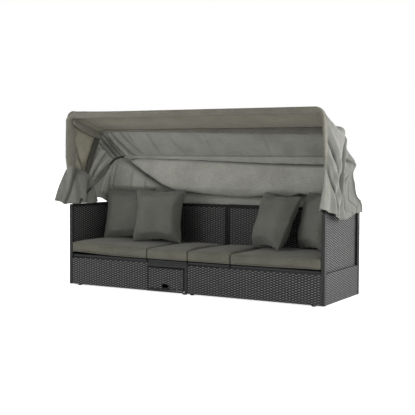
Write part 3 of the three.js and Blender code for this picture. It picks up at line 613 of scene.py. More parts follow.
def makeDrawerFront():
    low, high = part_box("drawer_front")
    edge, rim = drawer["border"], drawer["slotRim"]
    middleX, halfX, halfZ = (low.x + high.x) / 2, drawer["slot"][0] / 2, drawer["slot"][1] / 2
    left, right = middleX - halfX, middleX + halfX
    bottom, top = drawer["slotZ"] - halfZ, drawer["slotZ"] + halfZ
    inner = Vector((edge, 0, edge))
    start = low + inner
    window = ((left - start.x, 0, bottom - start.z), (right - start.x, 0, top - start.z))
    wovenSkin("drawerWeave", "drawer_front", ["front"], start, high - inner, "drawer", window)
    bars = []
    for x in (low.x, high.x - edge):
        bars.append(((x, low.y - 0.001, low.z), (x + edge, high.y, high.z), 2))
    for z in (low.z, high.z - edge):
        bars.append(((low.x + edge, low.y - 0.001, z), (high.x - edge, high.y, z + edge), 0))
    bars.append(((low.x + 0.001, low.y, baseLow), (high.x - 0.001, low.y + 0.006, low.z + 0.001), 0))
    for z in (bottom - rim, top):
        bars.append(((left - rim, low.y - 0.0004, z), (right + rim, low.y + 0.012, z + rim), 0))
    for x in (left - rim, right):
        bars.append(((x, low.y - 0.0004, bottom), (x + rim, low.y + 0.012, top), 2))
    barPiece("drawerBorder", bars, body="drawer")
    bm = bmesh.new()
    plateY = low.y + weave["depth"] + 0.0005
    for x0, z0, x1, z1 in (        # the near-black plates behind the weave, round the slot: painted shade seen through the gaps
        (start.x, start.z, left, high.z - edge), (right, start.z, high.x - edge, high.z - edge),
        (left, start.z, right, bottom), (left, top, right, high.z - edge),
    ):
        addBox(bm, Vector((x0, plateY, z0)), Vector((x1, plateY + 0.003, z1)))
    finishPiece("drawerShadowBacking", meshFrom("drawerShadowBacking", bm), "wickerCore", "drawer", smooth=False)


makeDrawerFront()
print("stage: drawer made")


# the canopy's fan: each hoop leans back from one pivot line
rearPivot = next(joint for joint in frame["joints"] if joint["name"] == "rear_bow_pivot")["pos_m"]
pivotY, pivotZ = rearPivot[1], rearPivot[2]
hoops = {
    "front": {"legX": 0.9885, "reach": 0.636, "leanDegrees": -6.4},
    "mid": {"legX": 0.970, "reach": 0.582, "leanDegrees": 27.4},
    "rear": {"legX": 0.950, "reach": 0.560, "leanDegrees": 54.8},
}
hoopCorner = 0.060
clothLift = 0.0105


def fanPoint(hoop, x, reach):
    lean = math.radians(hoops[hoop]["leanDegrees"])
    return Vector((x, pivotY + reach * math.sin(lean), pivotZ + reach * math.cos(lean)))


# a station runs from the left hem at -3, over the left corner at -2 to -1 and the roof, to the right hem at 3
def hoopPoint(hoop, station, lift=clothLift, hem=None, bend=0.3):
    legX, reach = hoops[hoop]["legX"], hoops[hoop]["reach"]
    cornerX, cornerReach = legX - hoopCorner, reach - hoopCorner
    place = abs(station)
    if place <= 1:
        point = fanPoint(hoop, cornerX * place, reach + lift)
    elif place <= 2:
        angle = (2 - place) * math.pi / 2
        radius = hoopCorner + lift
        point = fanPoint(hoop, cornerX + radius * math.cos(angle), cornerReach + radius * math.sin(angle))
    elif hem is None:        # straight down the hoop's leg
        point = fanPoint(hoop, legX, cornerReach * (3 - place))
    else:
        low = Vector(hem)
        knee = fanPoint(hoop, low.x, cornerReach * bend)
        top = fanPoint(hoop, legX + lift, cornerReach)
        point = top.lerp(knee, place - 2).lerp(knee.lerp(low, place - 2), place - 2)
    point.x *= -1 if station < 0 else 1
    return point


def stationOut(station, leanDegrees):
    angle = roofShare(station) * math.pi / 2
    lean = math.radians(leanDegrees)
    sign = -1 if station < 0 else 1
    return Vector((sign * math.cos(angle), math.sin(angle) * math.sin(lean), math.sin(angle) * math.cos(lean)))


def roofShare(station):
    return 1 - min(max(abs(station) - 1, 0), 1)


def smoothStep(low, high, value):
    share = min(max((value - low) / (high - low), 0), 1)
    return share * share * (3 - 2 * share)


def bump(value, middle, width):
    return math.exp(-((value - middle) / width) ** 2)


def sideOf(table, station):
    return table["left" if station < 0 else "right"]


def leftToRight(ends, station):
    return ends[0] + (ends[1] - ends[0]) * smoothStep(-0.9, 0.9, station)


def ripple(point, coarse, fine):
    return coarse * noise.noise(point * 7.0) + fine * noise.noise(point * 20.0)


def sheetLength(station):
    place = abs(station)
    length = 0.93 * min(place, 1) + 0.11 * min(max(place - 1, 0), 1) + 0.50 * max(place - 2, 0)
    return -length if station < 0 else length


# a crease runs straight over a sheet: station and across of both ends, half width and depth in metres
def creaseDepth(crease, station, across, breadth):
    s0, v0, s1, v1, width, depth = crease
    start = Vector((sheetLength(s0), v0 * breadth))
    along = Vector((sheetLength(s1), v1 * breadth)) - start
    here = Vector((sheetLength(station), across * breadth)) - start
    share = here.dot(along) / along.length_squared
    away = (here - along * min(max(share, 0), 1)).length / width
    if away > 3.2:
        return 0.0, 0.0
    fade = 0.35 + 0.65 * math.sin(math.pi * min(max(0.12 + 0.76 * share, 0), 1))
    if depth > 0:
        return depth * math.exp(-away * away) * fade, 0
    shade = min(-depth / 0.020, 1) * math.exp(-(1.25 * away) ** 2) * fade
    return depth * math.exp(-1.6 * away) * fade, shade        # a groove is sharper than a ridge, and gets painted shade


# all creases of a sheet at one place: how far they stand out, and how much painted shade the place gets, from 0
# to 1
def creasesAt(creases, station, across, breadth):
    found = [creaseDepth(crease, station, across, breadth) for crease in creases]
    return sum(depth for depth, _ in found), max(shade for _, shade in found)


# the rows of a sheet shared out over the roof, the corners and the sides
rowShares = {"roof": 0.47, "corner": 0.17}


def evenStation(flat):
    sign = -1 if flat < 0 else 1
    share = abs(flat) / 3
    roof, corner = rowShares["roof"], rowShares["corner"]
    if share <= roof:
        return sign * share / roof
    if share <= roof + corner:
        return sign * (1 + (share - roof) / corner)
    return sign * (2 + (share - roof - corner) / (1 - roof - corner))


# moves a point of a sheet out by its depth and a small ripple, which ends at the sheet's edges
def rippled(point, out, depth, coarse, across):
    edge = min(min(across, 1 - across) * 8, 1)
    return point + out * (depth + ripple(point, coarse, 0.003) * edge)


# front gore: taut over the roof, slack at the sides, gathered above the left arm
frontGore = {
    "hoops": ("front", "mid"),
    "frontHem": {"left": (1.012, -0.300, 0.720), "right": (0.976, -0.342, 0.622)},
    "backHem": {"left": (1.014, -0.050, 0.640), "right": (1.024, -0.125, 0.541)},
    "frontBend": 0.45,
    "breadth": 0.33,
    "sag": 0.010,
    "sagLean": 0,
    "outLean": 10,
    "billow": {"left": 0.012, "right": 0.026},
    "wave": (0.010, 6),
    "ripple": 0.006,
    "cornerAt": 1.0,
    "leftSwell": 0.022,
    "leftTuck": 0.020,
    "rightDrop": 0.046,
    "rightKnot": 0,
    "rightShade": 0,
    "creases": [
        (-1.04, 0.02, -1.10, 0.98, 0.009, -0.008), (-0.92, 0.04, -0.97, 0.98, 0.014, 0.006),
        (-1.95, 0.02, -1.95, 0.98, 0.010, -0.008), (-2.02, 0.05, -2.42, 0.97, 0.014, 0.018),
        (-2.12, 0.04, -2.55, 0.95, 0.012, -0.022), (-2.20, 0.05, -2.70, 0.90, 0.013, 0.014),
        (-2.05, 0.30, -2.62, 0.40, 0.012, -0.018), (1.90, 0.06, 2.05, 0.96, 0.018, 0.012),
        (2.08, 0.12, 2.38, 0.96, 0.018, 0.018), (2.20, 0.10, 2.48, 0.92, 0.028, -0.026),
        (2.36, 0.10, 2.76, 0.98, 0.018, 0.018), (2.48, 0.06, 2.88, 0.80, 0.024, -0.020),
        (2.60, 0.30, 3.00, 0.52, 0.023, 0.012), (2.72, 0.62, 3.00, 0.80, 0.022, -0.016),
        (2.45, 0.01, 3.00, 0.08, 0.023, 0.012),
    ],
}
rearGore = {
    "hoops": ("mid", "rear"),
    "frontHem": frontGore["backHem"],
    "backHem": {"left": (1.012, 0.080, 0.622), "right": (1.011, 0.035, 0.538)},
    "frontBend": 0.3,
    "breadth": 0.27,
    "sag": 0.006,
    "sagLean": 41,
    "outLean": 41,
    "billow": {"left": 0.010, "right": 0.016},
    "wave": (0.008, 4),
    "ripple": 0.004,
    "cornerAt": 0.0,
    "leftSwell": 0,
    "leftTuck": 0,
    "rightDrop": 0,
    "rightKnot": 0.052,
    "rightShade": 0.30,
    "creases": [
        (-2.02, 0.02, -1.78, 0.98, 0.009, -0.026), (-1.86, 0.02, -1.62, 0.98, 0.008, 0.018),
        (-1.72, 0.02, -1.46, 0.98, 0.010, -0.034), (-1.56, 0.02, -1.30, 0.98, 0.008, 0.018),
        (-1.42, 0.02, -1.16, 0.98, 0.009, -0.024), (-1.28, 0.02, -1.04, 0.98, 0.008, 0.016),
        (-1.14, 0.02, -0.97, 0.98, 0.010, -0.028), (-1.03, 0.02, -0.93, 0.98, 0.007, 0.012),
        (-0.97, 0.02, -0.87, 0.96, 0.014, -0.018), (-0.88, 0.02, -0.78, 0.86, 0.012, -0.014),
        (-0.81, 0.02, -0.79, 0.55, 0.010, -0.010), (-0.62, 0.02, -0.60, 0.92, 0.012, -0.008),
        (-0.42, 0.30, -0.35, 0.95, 0.012, -0.005), (-0.10, 0.02, -0.08, 0.98, 0.010, -0.004),
        (0.40, 0.02, 0.42, 0.98, 0.010, -0.004), (-2.10, 0.04, -2.95, 0.14, 0.012, -0.024),
        (-2.06, 0.16, -2.95, 0.28, 0.010, 0.018), (-2.05, 0.28, -2.95, 0.42, 0.012, -0.026),
        (-2.00, 0.46, -2.95, 0.56, 0.012, 0.018), (-2.00, 0.62, -2.95, 0.70, 0.012, -0.024),
        (-2.00, 0.80, -2.95, 0.84, 0.010, 0.014), (1.62, 0.07, 2.62, 0.08, 0.020, -0.056),
        (1.85, 0.20, 2.60, 0.24, 0.016, 0.014), (2.30, 0.55, 2.98, 0.72, 0.026, -0.022),
        (2.02, 0.96, 2.16, 0.34, 0.018, -0.022), (2.12, 0.96, 2.32, 0.42, 0.013, 0.010),
        (2.25, 0.98, 2.46, 0.50, 0.018, -0.018),
    ],
}


def gorePoint(gore, flat, across):
    station = evenStation(flat)
    place = abs(station)
    start = hoopPoint(gore["hoops"][0], station, hem=sideOf(gore["frontHem"], station), bend=gore["frontBend"])
    end = hoopPoint(gore["hoops"][1], station, hem=sideOf(gore["backHem"], station))
    arch = math.sin(math.pi * across)
    point = start.lerp(end, across) - stationOut(0, gore["sagLean"]) * gore["sag"] * arch * roofShare(station)
    depth, shade = creasesAt(gore["creases"], station, across, gore["breadth"])
    depth += sideOf(gore["billow"], station) * arch ** 0.7 * smoothStep(1.4, 2.3, place)
    wave, waves = gore["wave"]
    depth += wave * max(place - 2, 0) * arch * (1 - math.cos(waves * math.pi * across))
    if station < 0:
        depth += gore["leftSwell"] * bump(station, -1.55, 0.5) * bump(across, 0.0, 0.3)
        depth -= gore["leftTuck"] * smoothStep(2.5, 2.9, place) * arch
    else:
        depth += 0.026 * bump(station, 1.75, 0.5) * bump(across, gore["cornerAt"], 0.3)
        depth += gore["rightKnot"] * bump(station, 1.98, 0.24) * bump(across, 1.0, 0.30)
        point.z -= gore["rightDrop"] * bump(station, 1.42, 0.55) * arch ** 0.8
        # painted shade over the right side beyond the rear corner
        shade = max(shade, gore["rightShade"] * smoothStep(1.4, 2.0, station))
    return rippled(point, stationOut(station, gore["outLean"]), depth, gore["ripple"], across), shade


# the skirt behind: it hangs slack inside, folds over low down and runs out over the walls
skirt = {
    "hemY": backY + 0.013,
    "hemX": 1.010,
    "hemZ": {"left": 0.572, "right": 0.566},
    "frontHem": rearGore["backHem"],
    "cornerRadius": 0.016,
    "foldLine": [(-0.93, 0.972), (-0.885, 0.957), (-0.78, 0.893), (-0.69, 0.838), (-0.60, 0.790),
                 (-0.52, 0.742), (-0.40, 0.698), (-0.10, 0.672), (0.12, 0.659), (0.30, 0.674),
                 (0.42, 0.664), (0.50, 0.662), (0.60, 0.698), (0.75, 0.666), (0.90, 0.658)],
    "foldDepth": 0.046,
    "foldDrop": 0.016,
    "groove": 0.030,
    "start": (0.02, 0.135),
    "turnOut": (0.60, 0.86),
    "creases": [
        (-1.30, 0.02, -1.35, 0.98, 0.008, -0.014), (-1.55, 0.05, -1.75, 0.98, 0.009, 0.012),
        (-1.80, 0.05, -2.05, 0.98, 0.009, -0.012), (-2.00, 0.05, -2.30, 0.98, 0.012, 0.012),
        (-0.86, 0.10, -0.84, 0.80, 0.012, -0.007), (-0.72, 0.45, -0.70, 0.90, 0.012, -0.007),
        (-0.50, 0.66, -0.60, 0.90, 0.014, -0.008), (-0.35, 0.70, -0.42, 0.88, 0.012, -0.007),
        (1.30, 0.05, 1.40, 0.98, 0.014, 0.014), (1.65, 0.05, 1.75, 0.98, 0.012, -0.016),
        (1.90, 0.05, 1.95, 0.98, 0.010, 0.014), (2.10, 0.10, 2.30, 0.98, 0.016, -0.012),
        (2.45, 0.10, 2.60, 0.98, 0.016, 0.010),
    ],
}


def foldHeight(x):
    line = skirt["foldLine"]
    x = min(max(x, line[0][0]), line[-1][0])
    for (x0, z0), (x1, z1) in zip(line, line[1:]):
        if x <= x1:
            return z0 + (z1 - z0) * (x - x0) / (x1 - x0)


def skirtHem(station):
    place = abs(station)
    radius = skirt["cornerRadius"]
    cornerX, cornerY = skirt["hemX"] - radius, skirt["hemY"] - radius
    hemZ = sideOf(skirt["hemZ"], station)
    if place <= 1:
        point = Vector((cornerX * place, skirt["hemY"], hemZ))
    elif place <= 2:
        angle = (2 - place) * math.pi / 2
        point = Vector((cornerX + radius * math.cos(angle), cornerY + radius * math.sin(angle), hemZ))
    else:
        front = Vector(sideOf(skirt["frontHem"], station))
        point = Vector((skirt["hemX"], cornerY, hemZ)).lerp(front, place - 2)
        point.z = hemZ + (front.z - hemZ) * smoothStep(2.25, 3.0, place)
    point.x *= -1 if station < 0 else 1
    return point


def skirtPoint(settings, flat, across):
    station = evenStation(flat)
    start = hoopPoint("rear", station, hem=sideOf(settings["frontHem"], station))
    end = skirtHem(station)
    outwards = 0.12 * across + 0.88 * smoothStep(*settings["turnOut"], across)
    point = Vector((
        start.x + (end.x - start.x) * math.sin(across * math.pi / 2),
        start.y + (end.y - start.y) * outwards,
        start.z + (end.z - start.z) * across,
    ))
    roof = roofShare(station)
    above = point.z - foldHeight(point.x)
    arch = math.sin(math.pi * min(across * 1.2, 1))
    hold = roof * arch ** 0.5
    slack = settings["foldDepth"] * smoothStep(-0.004, 0.004, above)
    slack -= settings["groove"] * bump(above, -0.014, 0.012)
    begin = leftToRight(settings["start"], station)
    point.y -= slack * hold * smoothStep(begin, begin + 0.07, across)
    point.z -= settings["foldDrop"] * bump(above, 0, 0.03) * roof * (1 if above > -0.002 else 0.3)
    depth, shade = creasesAt(settings["creases"], station, across, 0.38)
    # painted shade in a band below the fold line, and along the line where the slack begins
    thick = 0.019 + 0.014 * smoothStep(-0.3, -0.6, point.x)
    shade = max(shade, bump(above, -thick, thick) * hold, 0.75 * bump(across, begin + 0.02, 0.014) * roof)
    if station > 0:
        depth += 0.052 * bump(station, 1.98, 0.24) * bump(across, 0.0, 0.16)
        # painted shade over the right side beyond the rear corner
        shade = max(shade, 0.30 * smoothStep(1.4, 2.0, station))
    depth += 0.006 * across * (1 - 0.5 * roof) * math.sin(station * 14.0) * arch
    return rippled(point, stationOut(station, 90), depth, 0.005, across), shade


canopyThickness = 0.0012


def addFinish(piece, thickness=None, finer=True):
    if finer:
        smooth = piece.modifiers.new("smooth", "SUBSURF")
        smooth.levels = 1
        smooth.render_levels = 1
    if thickness:
        shell = piece.modifiers.new("shell", "SOLIDIFY")
        shell.thickness = thickness
        shell.offset = 0
        shell.material_offset = len(piece.data.materials) - 1


def makeCloth(name, node, inner, pointOf, settings, rows=320, columns=28, finer=True):
    bm = bmesh.new()
    bmesh.ops.create_grid(bm, x_segments=rows, y_segments=columns, size=0.5, calc_uvs=True)
    paintedClothShade = bm.verts.layers.float.new("paintedClothShade")
    for vert in bm.verts:
        vert.co, vert[paintedClothShade] = pointOf(settings, vert.co.x * 6, vert.co.y + 0.5)
    mesh = meshFrom(name, bm, recalc=False)
    # the outer face takes the darker copy of the cloth: painted shade
    piece = finishPiece(name, mesh, ["canopyOuter", inner], None, stands=(node,))
    addFinish(piece, canopyThickness, finer)
    print("canopy", name, round(sum(polygon.area for polygon in mesh.polygons), 3))
    return piece


canopyFront = makeCloth("canopyFront", "canopy_front_gore", "canopyWarm", gorePoint, frontGore)
canopyRear = makeCloth("canopyRear", "canopy_rear_gore", "canopyCloth", gorePoint, rearGore)
# the skirt's inner face takes the lighter copy of the cloth: painted light
canopySkirt = makeCloth("canopySkirt", "canopy_back", "canopyLitSkirt", skirtPoint, skirt, 400, 110, finer=False)
frontPlace, midPlace, rearPlace = (fanPoint(hoop, 0, 0.45) for hoop in ("front", "mid", "rear"))
skirtTop = fanPoint("rear", 0, hoops["rear"]["reach"])
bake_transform(canopyFront, "mid_bow", "front_bow", start=midPlace, end=frontPlace)
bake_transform(canopyRear, "rear_bow", "mid_bow", start=rearPlace, end=midPlace)
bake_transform(canopySkirt, "daybed", "rear_bow", start=Vector((0, backY, 0.588)), end=skirtTop)
print("stage: canopy hung")


# sleeves: a closed pocket of cloth round a hoop, wide and slack on the left legs, its drop from left to right
sleeves = {
    "front": {"from": -2.66, "to": 2.66, "wide": 0.0115, "drop": (0.036, 0.036),
              "leftLeg": (0.044, 0.016), "rightLeg": (0.020, 0.013), "legShade": 0},
    "mid": {"from": -2.66, "to": 2.66, "wide": 0.0105, "drop": (0.010, 0.042),
            "leftLeg": (0.030, 0.013), "rightLeg": (0.016, 0.0115), "legShade": 0.80},
    "rear": {"from": -0.985, "to": 1.95, "wide": 0.0100, "drop": (0.012, 0.046),
             "leftLeg": (0.010, 0.010), "rightLeg": (0.012, 0.010), "legShade": 0},
    "rearLeg": {"from": -2.70, "to": -2.12, "wide": 0.0100, "drop": (0.012, 0.046),
                "leftLeg": (0.020, 0.012), "rightLeg": (0.012, 0.010), "legShade": 0.75},
}
slackLeg = Vector((-0.016, -0.036, 0))    # how far the left front leg's cloth stands off the tube at its foot
sleeveSteps = 300
sleeveLeast = 0.0095


def makeSleeve(name, hoop):
    settings = sleeves[name]
    leanDegrees = hoops[hoop]["leanDegrees"]
    lean = math.radians(leanDegrees)
    bm = bmesh.new()
    paintedClothShade = bm.verts.layers.float.new("paintedClothShade")
    last = None
    for step in range(sleeveSteps + 1):
        station = evenStation(3 * (-1 + 2 * step / sleeveSteps))
        if not settings["from"] <= station <= settings["to"]:
            continue
        centre = hoopPoint(hoop, station, lift=0)
        outWay, aside = stationOut(station, leanDegrees), Vector((0, math.cos(lean), -math.sin(lean)))
        if hoop == "rear" and abs(station) < 1.1:
            aside, outWay = Vector((0, 1, 0)), Vector((0, 0, 1))
        roof = 1 - smoothStep(0.95, 1.8, abs(station))
        legAside, legOut = settings["leftLeg" if station < 0 else "rightLeg"]
        legAside *= 1 - 0.5 * smoothStep(2.35, 2.66, abs(station))
        flutter = ripple(centre * 2.2, 0.0035, 0.002)
        asideHalf = legAside + (settings["wide"] - legAside) * roof
        drop = leftToRight(settings["drop"], station)
        inner = max(legOut + (drop + flutter - legOut) * roof, sleeveLeast)
        taper = 0.55 * roof if drop > 0.02 and hoop != "rear" else 0
        ring = bmesh.ops.create_circle(bm, segments=16, radius=1)["verts"]
        for vert in ring:
            angle = math.atan2(vert.co.y, vert.co.x)
            aimOut = math.sin(angle)
            tall = (settings["wide"] if aimOut > 0 else inner) * aimOut
            slim = 1 - taper * max(-aimOut, 0) ** 2
            across = max((asideHalf + flutter * (1 - roof)) * slim, 0.004)
            vert.co = centre + aside * (across * math.cos(angle)) + outWay * tall
            # painted shade along the left legs, by legShade
            vert[paintedClothShade] = settings["legShade"] * (1 - roof) if station < 0 else 0
            if name == "front" and station < -2:
                vert.co += slackLeg * ((-2 - station) / 0.66) * (0.5 - 0.5 * math.cos(angle))
        last = bridgeRing(bm, ring, last)
    fillRims(bm)
    # the front and mid sleeves take the darker lip copy of the cloth: painted shade
    material = "canopyCloth" if hoop == "rear" else "canopyLip"
    finishPiece(name + "Sleeve", meshFrom(name + "Sleeve", bm), material, hoop + "_bow")


for sleeve in sleeves:
    makeSleeve(sleeve, "rear" if sleeve == "rearLeg" else sleeve)


# a folded strap of cloth keeps the front and the mid hoop's left corners apart
strap = {"half": 0.029, "thick": 0.006, "front": (-0.960, 0.580), "mid": (-0.946, 0.536), "steps": 24,
         "sag": 0.004}


def makeStrap():
    bm = bmesh.new()
    start, end = (fanPoint(hoop, *strap[hoop]) for hoop in ("front", "mid"))
    last = None
    for step in range(strap["steps"] + 1):
        share = step / strap["steps"]
        centre = start.lerp(end, share) - Vector((0, 0, strap["sag"] * math.sin(math.pi * share)))
        tight = 1 - 0.35 * abs(2 * share - 1) ** 3
        ring = bmesh.ops.create_circle(bm, segments=12, radius=1)["verts"]
        for vert in ring:
            lift = 0.003 * noise.noise(centre * 30 + vert.co)
            vert.co = centre + Vector((vert.co.x * strap["thick"], 0, vert.co.y * strap["half"] * tight + lift))
        last = bridgeRing(bm, ring, last)
    fillRims(bm)
    # the strap takes the darker lip copy of the cloth: painted shade
    piece = finishPiece("leftStrap", meshFrom("leftStrap", bm), "canopyLip", None)
    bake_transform(piece, "mid_bow", "front_bow", start=midPlace, end=frontPlace)


makeStrap()


# the gathered end of the left side: a pleated bell that hides the pivot
flare = {
    "top": {"middle": (-0.984, -0.190, 0.834), "half": (0.026, 0.118), "tilt": -0.34},
    "hem": [(-1.080, -0.341, 0.622), (-1.036, -0.332, 0.588), (-0.978, -0.323, 0.592), (-0.942, -0.240, 0.594),
            (-0.932, -0.130, 0.592), (-0.944, -0.030, 0.598), (-0.985, 0.005, 0.604), (-1.022, -0.060, 0.604),
            (-1.036, -0.160, 0.608), (-1.060, -0.270, 0.614)],
    "pleats": 6,
    "creases": [(0.33, 0.02, 0.13, 1.0, 0.030, 0.016), (0.42, 0.15, 0.36, 1.0, 0.022, 0.012),
                (0.02, 0.05, -0.03, 0.60, 0.020, 0.006)],
    "rows": 22,
    "columns": 136,
}


def alongLoop(points, share):
    place = (share % 1) * len(points)
    index = int(place)
    part = place - index
    before, here, after, beyond = (Vector(points[(index + offset) % len(points)]) for offset in (-1, 0, 1, 2))
    return 0.5 * (
        2 * here + (after - before) * part + (2 * before - 5 * here + 4 * after - beyond) * part ** 2
        + (3 * here - before - 3 * after + beyond) * part ** 3
    )


# a place on the flare, by its share of the way round and down, and the painted shade of its creases there
def flarePoint(share, down):
    top = flare["top"]
    middle = Vector(top["middle"])
    low = alongLoop(flare["hem"], share)
    angle = math.atan2(low.y - middle.y, low.x - middle.x)
    out = Vector((math.cos(angle), math.sin(angle), 0))
    high = middle + Vector((top["half"][0] * out.x, top["half"][1] * out.y, 0))
    high.z += top["tilt"] * (high.y - middle.y)
    point = high.lerp(low, down ** 0.72)
    point.z = high.z + (low.z - high.z) * down
    uneven = share * flare["pleats"] * 2 * math.pi + 2.2 * math.sin(share * 2 * math.pi * 3)
    depth = (0.004 + 0.013 * down) * math.sin(uneven) + 0.003 * (1 - down) * math.sin(3.7 * uneven)
    around = share if share < 0.75 else share - 1
    shade = 0
    for s0, d0, s1, d1, width, deep in flare["creases"]:
        part = min(max((down - d0) / (d1 - d0), 0), 1)
        near = bump(around, s0 + (s1 - s0) * part, width) * smoothStep(d0 - 0.1, d0 + 0.1, down)
        depth -= deep * near
        shade = max(shade, 0.8 * near)
    point += out * (depth + ripple(point, 0.006, 0.003) * down)
    point.z += 0.006 * down * noise.noise(point * 16)
    return point, shade


def makeFlare():
    bm = bmesh.new()
    paintedClothShade = bm.verts.layers.float.new("paintedClothShade")
    last = None
    for row in range(flare["rows"] + 1):
        ring = bmesh.ops.create_circle(bm, segments=flare["columns"], radius=1)["verts"]
        for vert in ring:
            share = (math.atan2(vert.co.y, vert.co.x) / (2 * math.pi) + 0.5) % 1
            vert.co, vert[paintedClothShade] = flarePoint(share, row / flare["rows"])
        last = bridgeRing(bm, ring, last)
    # the flare takes the darker outer copy of the cloth: painted shade
    piece = finishPiece("leftFlare", meshFrom("leftFlare", bm), "canopyOuter", "daybed")
    addFinish(piece, canopyThickness)
    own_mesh(piece)


makeFlare()
print("stage: sleeves sewn")


# cushions: closed shapes blown up by a short cloth simulation
def simulateCushion(piece, settings):
    cloth = piece.modifiers.new("swell", "CLOTH")
    data = cloth.settings
    data.quality = 6
    data.mass = 0.3
    data.tension_stiffness = settings["tension"]
    data.compression_stiffness = settings["tension"]
    data.shear_stiffness = settings["shear"]
    data.bending_stiffness = settings["bending"]
    data.use_pressure = True
    data.uniform_pressure_force = settings["pressure"]
    data.shrink_min = settings["shrink"]
    data.effector_weights.gravity = 0
    cloth.collision_settings.use_collision = False
    cloth.point_cache.frame_start = 1
    cloth.point_cache.frame_end = settings["frames"]
    for step in range(1, settings["frames"] + 1):
        bpy.context.scene.frame_set(step)
    depsgraph = bpy.context.evaluated_depsgraph_get()
    swollen = bpy.data.meshes.new_from_object(piece.evaluated_get(depsgraph))
    keep = Vector(settings["keep"])
    for vert, old in zip(swollen.vertices, piece.data.vertices):
        move = (vert.co - old.co) * keep
        vert.co = old.co + move * min(settings["cap"] / max(move.length, 1e-9), 1)
    piece.modifiers.clear()
    piece.data = swollen
    bpy.context.scene.frame_set(1)


def startCushion(node, mesh, sim):
    piece = linked(node + "Cloth", mesh)
    simulateCushion(piece, sim)
    return piece


def endCushion(node, piece, material):
    finishPiece(node + "Cloth", piece, material, "daybed", stands=(node,))
    addFinish(piece)


pillow = {
    "side": 0.408,
    "cells": 40,
    "startThick": 0.050,
    "sim": {"tension": 13.0, "shear": 6.0, "bending": 0.22, "pressure": 4.6, "frames": 20, "cap": 0.050,
            "shrink": -0.04, "keep": (0.34, 1.0, 0.34)},
    "places": {
        "left_back_pillow": {"turn": 25, "lean": 13, "twist": 0, "shift": (-0.026, -0.014, 0)},
        "left_front_pillow": {"turn": 9, "lean": 12, "twist": 0, "shift": (0.004, -0.006, -0.002)},
        "right_front_pillow": {"turn": -32, "lean": 21, "twist": 14, "shift": (0.022, -0.026, -0.006)},
        "right_back_pillow": {"turn": -38, "lean": 12, "twist": 4, "shift": (0.030, 0, 0)},
    },
    "pressFrom": 0.896,        # the outer pillows lean against the arms, clear of the hoops
    "pressRoom": 0.034,
}


def pillowMesh(name):
    bm = bmesh.new()
    half = pillow["side"] / 2
    bmesh.ops.create_grid(bm, x_segments=pillow["cells"], y_segments=pillow["cells"], size=half)
    for vert in bm.verts:
        x, y = vert.co.x / half, vert.co.y / half
        vert.co.z = pillow["startThick"] / 2 * (max(1 - x * x, 0) * max(1 - y * y, 0)) ** 0.5
    twin = bmesh.ops.duplicate(bm, geom=list(bm.verts) + list(bm.edges) + list(bm.faces))["geom"]
    verts = [item for item in twin if isinstance(item, bmesh.types.BMVert)]
    bmesh.ops.transform(bm, matrix=Matrix.Diagonal((1, 1, -1, 1)), verts=verts)
    bmesh.ops.remove_doubles(bm, verts=bm.verts, dist=0.0001)
    bmesh.ops.transform(bm, matrix=Matrix.Rotation(math.pi / 2, 4, "X"), verts=bm.verts)
    return meshFrom(name, bm)


def pillowWrinkle(x, z, seed):
    corner = max(abs(x), abs(z)) * min(abs(x), abs(z)) * 1.1
    fan = math.sin(9 * math.atan2(abs(z) - 1.05, abs(x) - 1.05) + seed)
    return 0.0045 * fan * max(corner - 0.42, 0) * 2


# evens out what the simulation crumpled, away from the seam
def smoothCloth(mesh):
    bm = bmesh.new()
    bm.from_mesh(mesh)
    loose = [vert for vert in bm.verts if abs(vert.co.y) > 0.007]
    for _ in range(4):
        bmesh.ops.smooth_vert(bm, verts=loose, factor=0.5, use_axis_x=True, use_axis_y=True, use_axis_z=True)
    bm.to_mesh(mesh)
    bm.free()


def makePillows():
    half = pillow["side"] / 2
    for index, (node, place) in enumerate(pillow["places"].items()):
        piece = startCushion(node, pillowMesh(node), pillow["sim"])
        mesh = piece.data
        smoothCloth(mesh)
        for vert in mesh.vertices:
            x, z = vert.co.x / half, vert.co.z / half
            if abs(vert.co.y) > 0.004:
                vert.co.y += (1 if vert.co.y > 0 else -1) * pillowWrinkle(x, z, index * 1.7)
            vert.co = Matrix.Rotation(math.radians(place["twist"]) * z * 0.5, 3, "Z") @ vert.co
        low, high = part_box(node)
        turn, lean = math.radians(place["turn"]), math.radians(place["lean"])
        mesh.transform(Matrix.Rotation(turn, 4, "Z") @ Matrix.Rotation(-lean, 4, "X"))
        middle = (low + high) / 2
        middle.z = low.z - min(vert.co.z for vert in mesh.vertices)
        middle += Vector(place["shift"])
        for vert in mesh.vertices:
            soft = 0.006 * noise.noise(vert.co * 8.0 + Vector((index * 5.0, 0, 0)))
            vert.co += vert.normal * soft + middle
            pressed = abs(vert.co.x) - pillow["pressFrom"]
            if pressed > 0:
                room = pillow["pressRoom"] * (1 - math.exp(-pressed / pillow["pressRoom"]))
                vert.co.x = math.copysign(pillow["pressFrom"] + room, vert.co.x)
        endCushion(node, piece, "pillowCloth")


makePillows()
print("stage: pillows filled")


pad = {
    "cell": 0.018,
    "draw": 0.001,
    "outer": 0.004,
    "forward": 0.006,
    "sim": {"tension": 16.0, "shear": 8.0, "bending": 0.6, "pressure": 1.3, "frames": 14, "cap": 0.009,
            "shrink": -0.03, "keep": (1.0, 1.0, 1.0)},
    "height": 0.064,
    "lift": 0.007,
    "crown": 0.010,
    "endRise": {"left_wide_pad": (0.018, 0), "right_wide_pad": (0.0, 0.007)},
    "softness": 0.0045,
    "piping": 0.0026,
    "pipingSteps": 150,
}


def padMesh(name, size):
    bm = bmesh.new()
    bmesh.ops.create_cube(bm, size=1)
    for axis in range(3):
        cuts = max(4, round(size[axis] / pad["cell"])) - 1
        ways = [(edge, (edge.verts[1].co - edge.verts[0].co).normalized()) for edge in bm.edges]
        edges = [edge for edge, way in ways if abs(way[axis]) > 0.9]
        bmesh.ops.subdivide_edges(bm, edges=edges, cuts=cuts, use_grid_fill=True)
    bmesh.ops.transform(bm, matrix=Matrix.Diagonal((*size, 1)), verts=bm.verts)
    return meshFrom(name, bm)


